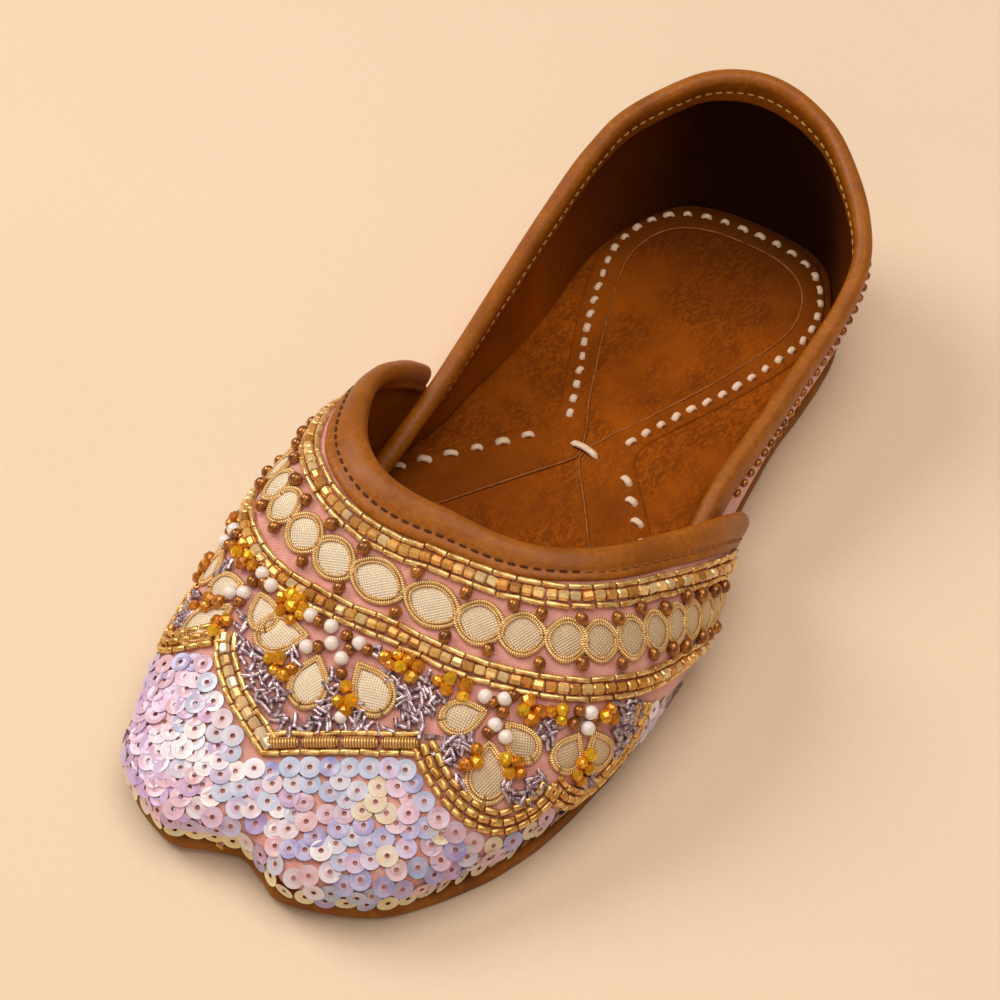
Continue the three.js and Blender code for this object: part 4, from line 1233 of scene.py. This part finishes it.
# scalloped border of the toe panel
BORDER_R = [(-7, 58.5), (-4.1, 55.3), (5.5, 51.3), (9.4, 47.8), (12.2, 45.5), (13.4, 44.6), (14.9, 48.1), (16.1, 50.8), (17.4, 53.4), (18.5, 55.2), (19.8, 56.5), (21.1, 56.5),
            (22.4, 54.7), (23.4, 52.5), (24.2, 50.2), (24.7, 47.3), (26.2, 50), (28.6, 51.8), (31.2, 51.6), (33.6, 49.2), (35.6, 45.2), (36.8, 40.6), (37.2, 35.2), (37.8, 31)]
BORDER_L = [(-7, 58.5), (-9.4, 56.2), (-11.3, 54.5), (-13.2, 52.7), (-15.1, 50.3), (-16.6, 48.2), (-18.2, 44.7), (-18.9, 47), (-19.7, 49.8), (-20.5, 52.8), (-21.5, 55.6), (-22.9, 56.4),
            (-24.5, 54.4), (-25.7, 51), (-26.4, 47.5), (-28, 50.2), (-30.6, 51.8), (-33, 51.2), (-35.4, 48.6), (-37, 44.6), (-38, 40), (-38.6, 35), (-39.2, 31)]


def parts_of(tab, breaks):
    """Splits a border into its scallops at the cusps, so that the corners stay sharp."""
    cut = [0] + breaks + [len(tab) - 1]
    return [tab[i:j + 1] for i, j in zip(cut, cut[1:])]


_bands = [(surf_path(p, True, 0.01 if kind == "brick" else 1.3), kind) for tab, br, kinds in ((BORDER_R, [5, 15], ("coil", "brick", "brick")), (BORDER_L, [6, 14], ("beads", "brick", "brick")))
          for p, kind in zip(parts_of(tab, br), kinds)]
gij = Build()
for _c, _kind in _bands:
    if _kind == "coil":
        o, x, y, z, step = along(_c, 9.0)
        L = np.concatenate([[0], np.cumsum(np.linalg.norm(np.diff(_c[0], axis=0), axis=1))])
        for k in range(len(o)):
            s = np.linspace(k * step + 0.15, (k + 1) * step - 0.15, 22)
            pth = np.stack([np.interp(s, L, (_c[0] + _c[1] * 0.95)[:, i]) for i in range(3)], 1)
            strand(gij, pth, 1.3, 9, 0, True, z[k])
        bugle_row(beside(_c, 2.0), 5.2, 5.1, 0.70)
        bugle_row(beside(_c, -2.0), 4.2, 4.1, 0.70)
    elif _kind == "beads":
        facet_row(_c, 2.5, 1.2, [(255, 230, 190), (252, 214, 158), (242, 196, 128)])
        bugle_row(beside(_c, 1.95), 4.4, 4.2, 0.70)
        bugle_row(beside(_c, -1.95), 4.4, 4.2, 0.70)
    else:
        brick_row(_c, 2.7, 0.95)
        brick_row(beside(_c, 1.95), 3.1, 0.82)
        brick_row(beside(_c, -1.95), 3.1, 0.82)
gijai = tag(gij.done("border_gold_coil", [M_GIJAI]), "upper_cloth")

_bx = np.array(sorted(BORDER_L + BORDER_R[1:]), float)


def border_q(a):
    return np.where((a > 38) | (a < -39.4), 30.5, np.interp(a, _bx[:, 0], _bx[:, 1]))


# flowers: petals, pearls, bronze and amber beads, in map coordinates
PEARL_C, PEARL_SIZE, BRONZE_SIZE = (244, 228, 218), 1.60, 1.38
F0 = {"pearl": [(-12.3, 31), (-9.1, 30.7), (-10.2, 37), (-7.7, 33.8), (-4.3, 31.2), (-5.4, 35.7)],
      "bronze": [(-10.9, 31.1), (-6.5, 30.9), (-9, 35.7), (-2.6, 31.8), (-5.1, 33.1), (-4.4, 38.4)],
      "petal": [((-11.3, 35), (-16, 40.8)), ((-8.3, 37.6), (-6.5, 48.3)), ((-2.8, 35.2), (8, 41.8))],
      "amber": [((-16.6, 31.6), (-13.4, 33), 6.0), ((-13, 42.2), (-10.2, 43.6), 5.6), ((4.4, 31), (9, 32), 6.0), ((-1.6, 40), (3, 45.4), 5.4)], "tip": [(3.9, 46.6)]}
FA = {"pearl": [(17.4, 31.4), (19.3, 31.1), (19, 36.9), (20, 38.8)], "bronze": [(18.5, 32.5), (19.2, 33.5), (18.5, 38.6), (20.1, 30)],
      "petal": [((17.8, 34.4), (14.1, 38.9)), ((20.1, 36), (22.8, 42.8)), ((18.9, 40.8), (19.7, 53.1))],
      "amber": [((12.2, 30.8), (15.4, 31), 5.4), ((21, 31.6), (22.8, 33.2), 5.4), ((18.3, 42.4), (17.4, 47.8), 4.6), ((20.2, 42), (21.8, 47), 4.6)], "tip": []}
FB = {"pearl": [(28.7, 32.6), (28.3, 35.3)], "bronze": [(27.2, 32.6), (26.8, 34), (29.4, 33.8)],
      "petal": [((27.2, 37.2), (25.3, 44.6)), ((29.2, 36.7), (31.9, 44.8))],
      "amber": [((24.2, 32), (25.8, 33), 5.2), ((30.4, 31.8), (32, 33.2), 5.2), ((28.6, 40.6), (27.6, 46.6), 4.6)], "tip": []}


def flipped(f):
    g = lambda p: (-p[0] - 1.2, p[1])
    return {"pearl": [g(p) for p in f["pearl"]], "bronze": [g(p) for p in f["bronze"]], "petal": [(g(a), g(b)) for a, b in f["petal"]],
            "amber": [(g(a), g(b), w) for a, b, w in f["amber"]], "tip": [g(p) for p in f["tip"]]}


def glass_heap(P0, P1, width):
    """A little heap of amber glass beads, wider at its far end when it is long."""
    mid, N = snap((P0 + P1)[None] / 2)
    X = P1 - P0
    X = X - (X * N[0]).sum() * N[0]
    ln = np.linalg.norm(X) + width * 0.55
    X = unit(X)
    Y = np.cross(N[0], X)
    uv = RNG.uniform(-1, 1, (500, 2))
    half = np.sqrt(np.clip(1 - uv[:, 0] ** 2, 0, 1)) * (1 + (0.34 * uv[:, 0] if ln > width * 1.3 else 0))
    uv = uv[np.abs(uv[:, 1]) < half]
    P = mid + X * uv[:, :1] * (ln / 2 - 0.9) + Y * uv[:, 1:] * (width / 2 - 0.9)
    k = thin(P, 2.1)
    P, M = snap(P[k])
    n = len(P)
    dome = 1 - (uv[k] ** 2).sum(1)
    rise = 0.95 + 1.25 * np.clip(dome, 0, 1)
    x, y = turn(unit(np.cross(M, RNG.normal(size=M.shape))), M, RNG.uniform(0, 6.28, n))
    r = RNG.uniform(1.4, 1.75, (n, 1))
    col = palette([(244, 168, 2), (230, 146, 0), (252, 192, 14), (206, 120, 0)], n)
    ambers.put(P + M * rise[:, None], x, unit(np.cross(np.cross(x, y), x)), np.cross(x, y), r * np.ones((1, 3)), col)
    keep_clear.extend((mid[0] + X * ln * t, width / 2) for t in (-0.3, 0.0, 0.3))


def thin(P, dist):
    """Keeps points at least dist apart, in the given order."""
    dist = np.broadcast_to(np.asarray(dist, float), (len(P),))
    keep = []
    K = np.empty((len(P), 3))
    for i, p in enumerate(P):
        n = len(keep)
        if n == 0 or ((K[:n] - p) ** 2).sum(1).min() >= dist[i] ** 2:
            K[n] = p
            keep.append(i)
    return np.array(keep)


FLOWERS = [F0, FA, FB, flipped(FA), flipped(FB)]
keep_clear = []
for f in FLOWERS:
    for key, heap, size, rise in (("pearl", pearls, PEARL_SIZE, 1.4), ("bronze", bronze, BRONZE_SIZE, 1.25), ("tip", pearls, 1.4, 1.2)):
        if not f[key]:
            continue
        ab = np.array(f[key], float)
        P, N, X, Y = on(ab[:, 0], ab[:, 1])
        # beads of one flower settle beside one another
        for _ in range(12):
            for i in range(len(P)):
                for j in range(i):
                    d = P[i] - P[j]
                    g = np.linalg.norm(d)
                    if g < 2.02 * size:
                        m = d / max(g, 1e-6) * (2.02 * size - g) / 2
                        P[i] += m
                        P[j] -= m
        P, N = snap(P)
        X = unit(X - (X * N).sum(1, keepdims=True) * N)
        heap.put(P + N * rise, X, np.cross(N, X), N, np.full(3, size), lin(*PEARL_C)[:3])
        keep_clear += [(p, size + 0.2) for p in P]
    for a, b in f["petal"]:
        (P0, P1), _, _, _ = on(np.array([a[0], b[0]]), np.array([a[1], b[1]]))
        P, N = snap((P0 + P1)[None] / 2)
        P, N = P[0], N[0]
        X = P1 - P0
        ln = np.linalg.norm(X)
        X = unit(X - (X * N).sum() * N)
        petal(P, N, X, np.cross(N, X), ln, max(6.2, min(8.0, ln * 0.70)), "drop", 0.7, 0.5, wire=0.62)
        for t in np.linspace(-0.45, 0.45, 5):
            keep_clear.append((P + X * ln * t, 4.0))
    for a, b, w in f["amber"]:
        (P0, P1), _, _, _ = on(np.array([a[0], b[0]]), np.array([a[1], b[1]]))
        glass_heap(P0, P1, w)
KEEP = np.array([p for p, _ in keep_clear])
KEEP_R = np.array([r for _, r in keep_clear])


# ---------------------------------------------------------------- candidates spread evenly over the vamp
def spread(n, rng):
    """Random points on the vamp by area, with map coordinates."""
    v, q = both(VO)
    v = bend(v)
    a, b, c = v[q[:, 0]], v[q[:, 1]], v[q[:, 2]]
    d = v[q[:, 3]]
    area = np.linalg.norm(np.cross(b - a, c - a), axis=1) + np.linalg.norm(np.cross(c - a, d - a), axis=1)
    i = rng.choice(len(q), n, p=area / area.sum())
    s, t = rng.random((n, 1)), rng.random((n, 1))
    return (1 - s) * ((1 - t) * a[i] + t * d[i]) + s * ((1 - t) * b[i] + t * c[i])


# mauve coils on the ground of the scallops
_r = np.random.default_rng(21)
_P = spread(26000, _r)
_m = aq_of(_P)
_in = (_m[:, 1] > 30.6) & (_m[:, 1] < border_q(_m[:, 0]) - 3.4) & (_m[:, 0] < 37.4) & (_m[:, 0] > -38.8)
_P, _m = _P[_in], _m[_in]
_d = np.linalg.norm(_P[:, None] - KEEP[None], axis=2)
_free = (_d > KEEP_R[None] * 0.92).all(1)
_hearts, _, _, _ = on(np.array([-7.5, 19.0, 28.4, -20.2, -29.6]), np.array([33.6, 34.2, 34.6, 34.2, 34.6]))
_far = np.linalg.norm(_P[:, None] - _hearts[None], axis=2).min(1)
_P = _P[_free & (_far > 5.6 + 3.5 * _r.random(len(_P)))]
_P = _P[thin(_P, 0.98)]
_P, _N = snap(_P)
_X = unit(np.cross(_N, _r.normal(size=_P.shape)))
_tilt = _r.normal(0, 0.22, len(_P))
_X2 = _X * np.cos(_tilt)[:, None] + _N * np.sin(_tilt)[:, None]
_Z2 = _N * np.cos(_tilt)[:, None] - _X * np.sin(_tilt)[:, None]
springs.put(_P + _N * _r.uniform(0.45, 1.15, (len(_P), 1)), _X2, np.cross(_Z2, _X2), _Z2, np.stack([_r.uniform(2.0, 3.4, len(_P)), np.full(len(_P), 1.3), np.full(len(_P), 1.3)], 1))

# sequins from the border down to the sole: one row beside the border, one along the sole, the rest strewn between
_r = np.random.default_rng(33)
_foot = []
for _side, _cols in ((-1, slice(None, None, -1)), (1, slice(None))):
    _zz = VO[:, :, 2] - VO[:, :1, 2]
    _vv2 = np.array([np.interp(4.1, _zz[i, :30], VV[i, :30]) for i in range(len(VK))])
    _line = vamp(VK, _vv2) * np.array([_side, 1, 1.0])
    _foot.append(_line[_cols])
_foot = bend(np.concatenate([_foot[0], _foot[1][1:]]))
_foot = _foot[_foot[:, 1] < 2.0]
_sole_row, _, _ = resample(_foot, 4.15)
_edge_rows = []
for _c, _ in _bands:
    _q = aq_of(beside(_c, 4.9)[0])[:, 1] - aq_of(_c[0])[:, 1]
    _edge_rows.append(resample(beside(_c, 5.2 if _q.mean() > 0 else -5.2)[0], 4.3)[0])
_rows2 = np.concatenate(_edge_rows)
_P = spread(30000, _r)
_m = aq_of(_P)
_in = (_m[:, 1] > border_q(_m[:, 0]) + 4.6) & (_P[:, 1] < 9.0)
_P = np.concatenate([_sole_row, _rows2, _P[_in]])
_border_pts = np.concatenate([_c[0][::2] for _c, _ in _bands])
_clear = np.array([((_border_pts - p) ** 2).sum(1).min() for p in _P]) > 4.7 ** 2
_clear[:len(_sole_row)] = True
_P = _P[_clear]


def toe_fields(P):
    """Two directions over the toe: across (towards the outer side and back) and up from the foot."""
    p = P - OFF
    return 0.975 * p[:, 0] + 0.638 * p[:, 1], -0.52 * p[:, 0] + 0.833 * p[:, 1] + 0.628 * p[:, 2]


def logistic(x):
    return 1 / (1 + np.exp(-x))


# sewn close on the inner side of the toe, wider apart round the front
_u, _w = toe_fields(_P)
_inner = logistic((-17.9 - _u) / 3.0)
_dist = 3.0 - 0.98 * _inner + _r.normal(0, 0.12, len(_P))
_dist[:len(_sole_row)] = 3.2
_P = _P[thin(_P, _dist)]
_P, _N = snap(_P)
_is_sole = np.arange(len(_P)) < len(_sole_row)
_ok = _P[:, 2] > feet(_P[:, 1] - OFF[1]) + 1.6
_P, _N, _is_sole = _P[_ok], _N[_ok], _is_sole[_ok]
_n = len(_P)
_u, _w = toe_fields(_P)
_down = unit(np.array([0, -0.35, -1.0]) - (np.array([0, -0.35, -1.0]) * _N).sum(1, keepdims=True) * _N)
_sd = np.cross(_N, _down)
_ang = _r.uniform(-0.8, 0.8, _n) * np.where(_is_sole, 0.4, 1)
_tl = np.where(_is_sole, _r.uniform(0.32, 0.62, _n), _r.uniform(0.05, 0.15, _n))
_dx, _dy = turn(_down, _sd, _ang)
_x = _dx * np.cos(_tl)[:, None] + _N * np.sin(_tl)[:, None]
_z = _N * np.cos(_tl)[:, None] - _dx * np.sin(_tl)[:, None]
_y = np.cross(_z, _x)
_low = _P[:, 2] - feet(_P[:, 1] - OFF[1])
_inner = logistic((-17.9 - _u) / 3.0)
# painted highlight: in these zones the sequins are drawn mostly white
_highlight_zone = np.maximum.reduce([np.exp(-((_u + 19) / 10.7) ** 2 - ((_w - 39.6) / 4.4) ** 2), np.exp(-((_u + 13.1) / 7.5) ** 2 - ((_w - 33.5) / 3.0) ** 2),
                             np.exp(-((_u + 16.2) / 3.5) ** 2 - ((_w - 52) / 4.0) ** 2)])
_front = logistic((28.2 - _w) / 3.5) * logistic((_u - 2.4) / 5.0)
_hem = np.where(_is_sole, 1.0, np.clip((5.5 - _low) / 4.0, 0, 1) * 0.5)
FAMILIES = ([(224, 178, 206), (204, 166, 214), (232, 186, 204), (190, 164, 216), (230, 178, 194)],          # rose and lilac, inner side
            [(252, 248, 248), (246, 242, 248), (252, 244, 238)],                                             # white: painted highlight where the toe catches the light
            [(178, 196, 222), (164, 188, 218), (202, 204, 220), (192, 180, 214), (224, 206, 210)],           # pale grey-blue
            [(142, 128, 200), (128, 140, 202), (152, 170, 210), (178, 134, 188), (150, 146, 204), (204, 160, 180), (226, 176, 178), (226, 204, 150)],   # lavender, front
            [(242, 222, 130), (232, 218, 152), (246, 232, 162), (218, 212, 152)])                             # cream, along the sole
_col = np.empty((_n, 3))
for i in range(_n):
    w = np.array([_inner[i] * (1 - 0.8 * _highlight_zone[i]) + 0.10, 0.85 * _highlight_zone[i] + 0.03, 0.9 * (1 - _inner[i]) * (1 - 0.75 * _front[i]) * (1 - 0.8 * _highlight_zone[i]), 0.95 * _front[i] + 0.08, 0.0])
    w = w / w.sum() * (1 - 0.93 * _hem[i])
    w[4] += 0.93 * _hem[i]
    fam = FAMILIES[_r.choice(5, p=w / w.sum())]
    # the front sequins are made darker: painted shade on the lower front of the toe
    _col[i] = np.array(lin(*fam[_r.integers(len(fam))])[:3]) * (0.96 - 0.18 * _front[i])
_sz = _r.uniform(2.15, 2.4, _n)
_up = np.where(_is_sole, 1.05, _r.uniform(0.30, 0.75, _n))
spangles.put(_P + _N * _up[:, None], _x, _y, _z, np.stack([_sz, _sz, _sz], 1), _col)


def pearly(c, tv):
    """Each spangle runs from one tint to another round its cup: a painted iridescent sheen."""
    ang, rad = np.arctan2(tv[:, 1], tv[:, 0]), np.hypot(tv[:, 0], tv[:, 1])
    thru = np.interp(rad, [0.23, 0.55, 1.0], [0.46, 0.20, 0.0])[None, :, None]     # the cloth shows through towards the hole
    c = c * (1 - thru) + np.array(lin(206, 132, 122)[:3]) * thru
    r = np.random.default_rng(5)
    ph = r.uniform(0, 6.28, (c.shape[0], 1))
    k = 0.5 + 0.5 * np.cos(ang[None] * 1.0 + ph)
    k2 = 0.5 + 0.5 * np.cos(ang[None] * 2.0 + ph * 1.7)
    warm, cool = np.array(lin(250, 214, 226)[:3]), np.array(lin(196, 218, 246)[:3])
    c = c * (1 - 0.18 * k[..., None]) + warm * 0.18 * k[..., None]
    return c * (1 - 0.16 * k2[..., None]) + cool * 0.16 * k2[..., None]


# one row of small beads under the collar binding, round the outside of the quarter
_cb, _cnn = collar_sheet(5.6)
_cb, _cnn = _cb[_cb[:, 1] > 14.0], _cnn[_cb[:, 1] > 14.0]
o, x, y, z, step = along((_cb, _cnn, unit(np.gradient(_cb, axis=0)), _cnn), 3.3, 0.05)
bronze.put(o + z * 0.85, x, y, z, np.array([1.15, 0.95, 0.95]))

bugles.done("gold_bugles", BUGLE, [M_GOLD])
facets.done("braid_glass_beads", FACET, [M_GLASS], False)
bricks.done("border_gold_beads", BRICK, [M_BRICK])
bronze.done("bronze_beads", ROUND, [M_BRONZE])
pearls.done("pearl_beads", ROUND, [M_PEARL])
ambers.done("amber_glass_beads", GEM, [M_AMBER], False)
springs.done("mauve_coils", SPRING, [M_DABKA])
spangles.done("toe_sequins", SPANGLE, [M_SEQUIN], False, pearly)
petals = tag(plates.done("petal_plates", [M_LAME]), "upper_cloth")
petal_wires = tag(wires.done("petal_wires", [M_WIRE]), "upper_cloth")


# ---------------------------------------------------------------- floor, light, camera
def floor_cloth(name):
    m = Mat(name, 0.85, Specular_IOR_Level=0.2)
    slow = m.noise(160.0, 3.0, 0.5)
    col = m.mix(m.span(slow, 0.3, 0.7), lin(235, 211, 183), lin(238, 214, 187))
    col = m.mix(m.span(m.noise(1.6, 3.0), 0.4, 0.7, 0.0, 0.08), col, lin(214, 176, 138))
    return m.done(col, None, m.bump(m.noise(2.2, 3.0), 0.06))


_me = bpy.data.meshes.new("floor")
_n = 24
_f = np.linspace(-2.5, 2.5, _n)
_fx, _fy = np.meshgrid(_f, _f, indexing="ij")
_me.from_pydata(np.stack([_fx, _fy, 0 * _fx], -1).reshape(-1, 3).tolist(), [], grid_faces(_n, _n).tolist())
_me.materials.append(floor_cloth("floor_paper"))
floor = bpy.data.objects.new("floor", _me)
bpy.context.scene.collection.objects.link(floor)

EYE = np.array([131.79, -210.28, 429.49]) + OFF
FWD = np.array([-0.39252761, 0.60009008, -0.69700357])
UP = np.array([-0.38154439, 0.58329911, 0.71706766])
RIGHT = np.array([0.83686675, 0.54740665, 0.0])
FOCAL, ZOOM, AIM = 1544.46, 1.52, (664.0, 663.0)
_new = unit(FWD + (AIM[0] - 500) / FOCAL * RIGHT - (AIM[1] - 500) / FOCAL * UP)
_ax = np.cross(FWD, _new)
_rot = Matrix.Rotation(math.asin(np.linalg.norm(_ax)), 3, Vector(unit(_ax)))
_cols = [_rot @ Vector(RIGHT), _rot @ Vector(UP), -(_rot @ Vector(FWD))]
cam_data = bpy.data.cameras.new("camera")
cam = bpy.data.objects.new("camera", cam_data)
bpy.context.scene.collection.objects.link(cam)
cam_data.sensor_width, cam_data.sensor_fit = 36.0, "AUTO"
cam_data.lens = FOCAL * ZOOM / 1000 * 36.0
cam_data.clip_start, cam_data.clip_end = 0.01, 20
cam.matrix_world = Matrix.Translation(Vector(EYE * MM)) @ Matrix([[_cols[j][i] for j in range(3)] for i in range(3)]).to_4x4()
bpy.context.scene.camera = cam


def lamp(name, at, size, power, color, aim=(0, 0, 0.02)):
    d = bpy.data.lights.new(name, "AREA")
    d.shape, d.size, d.energy, d.color = "DISK", size, power, color
    o = bpy.data.objects.new(name, d)
    bpy.context.scene.collection.objects.link(o)
    o.location = at
    o.rotation_mode = "QUATERNION"
    o.rotation_quaternion = (Vector(aim) - Vector(at)).to_track_quat("-Z", "Y")
    return o


lamp("key", (-1.40, -0.05, 1.30), 1.05, 17.3, (1.0, 0.96, 0.91))
lamp("overhead", (0.10, -0.05, 1.45), 1.2, 10.2, (1.0, 0.96, 0.91))
lamp("fill", (0.15, -1.0, 0.75), 0.9, 1.4, (1.0, 0.96, 0.92))
world = bpy.data.worlds.new("studio")
bpy.context.scene.world = world
world.use_nodes = True
_bg = next(n for n in world.node_tree.nodes if n.type == "BACKGROUND")
_bg.inputs[0].default_value = (1.0, 0.88, 0.74, 1)
_bg.inputs[1].default_value = 0.325
vs = bpy.context.scene.view_settings
vs.view_transform, vs.look, vs.exposure, vs.gamma = "Standard", "None", 0.0, 1.0
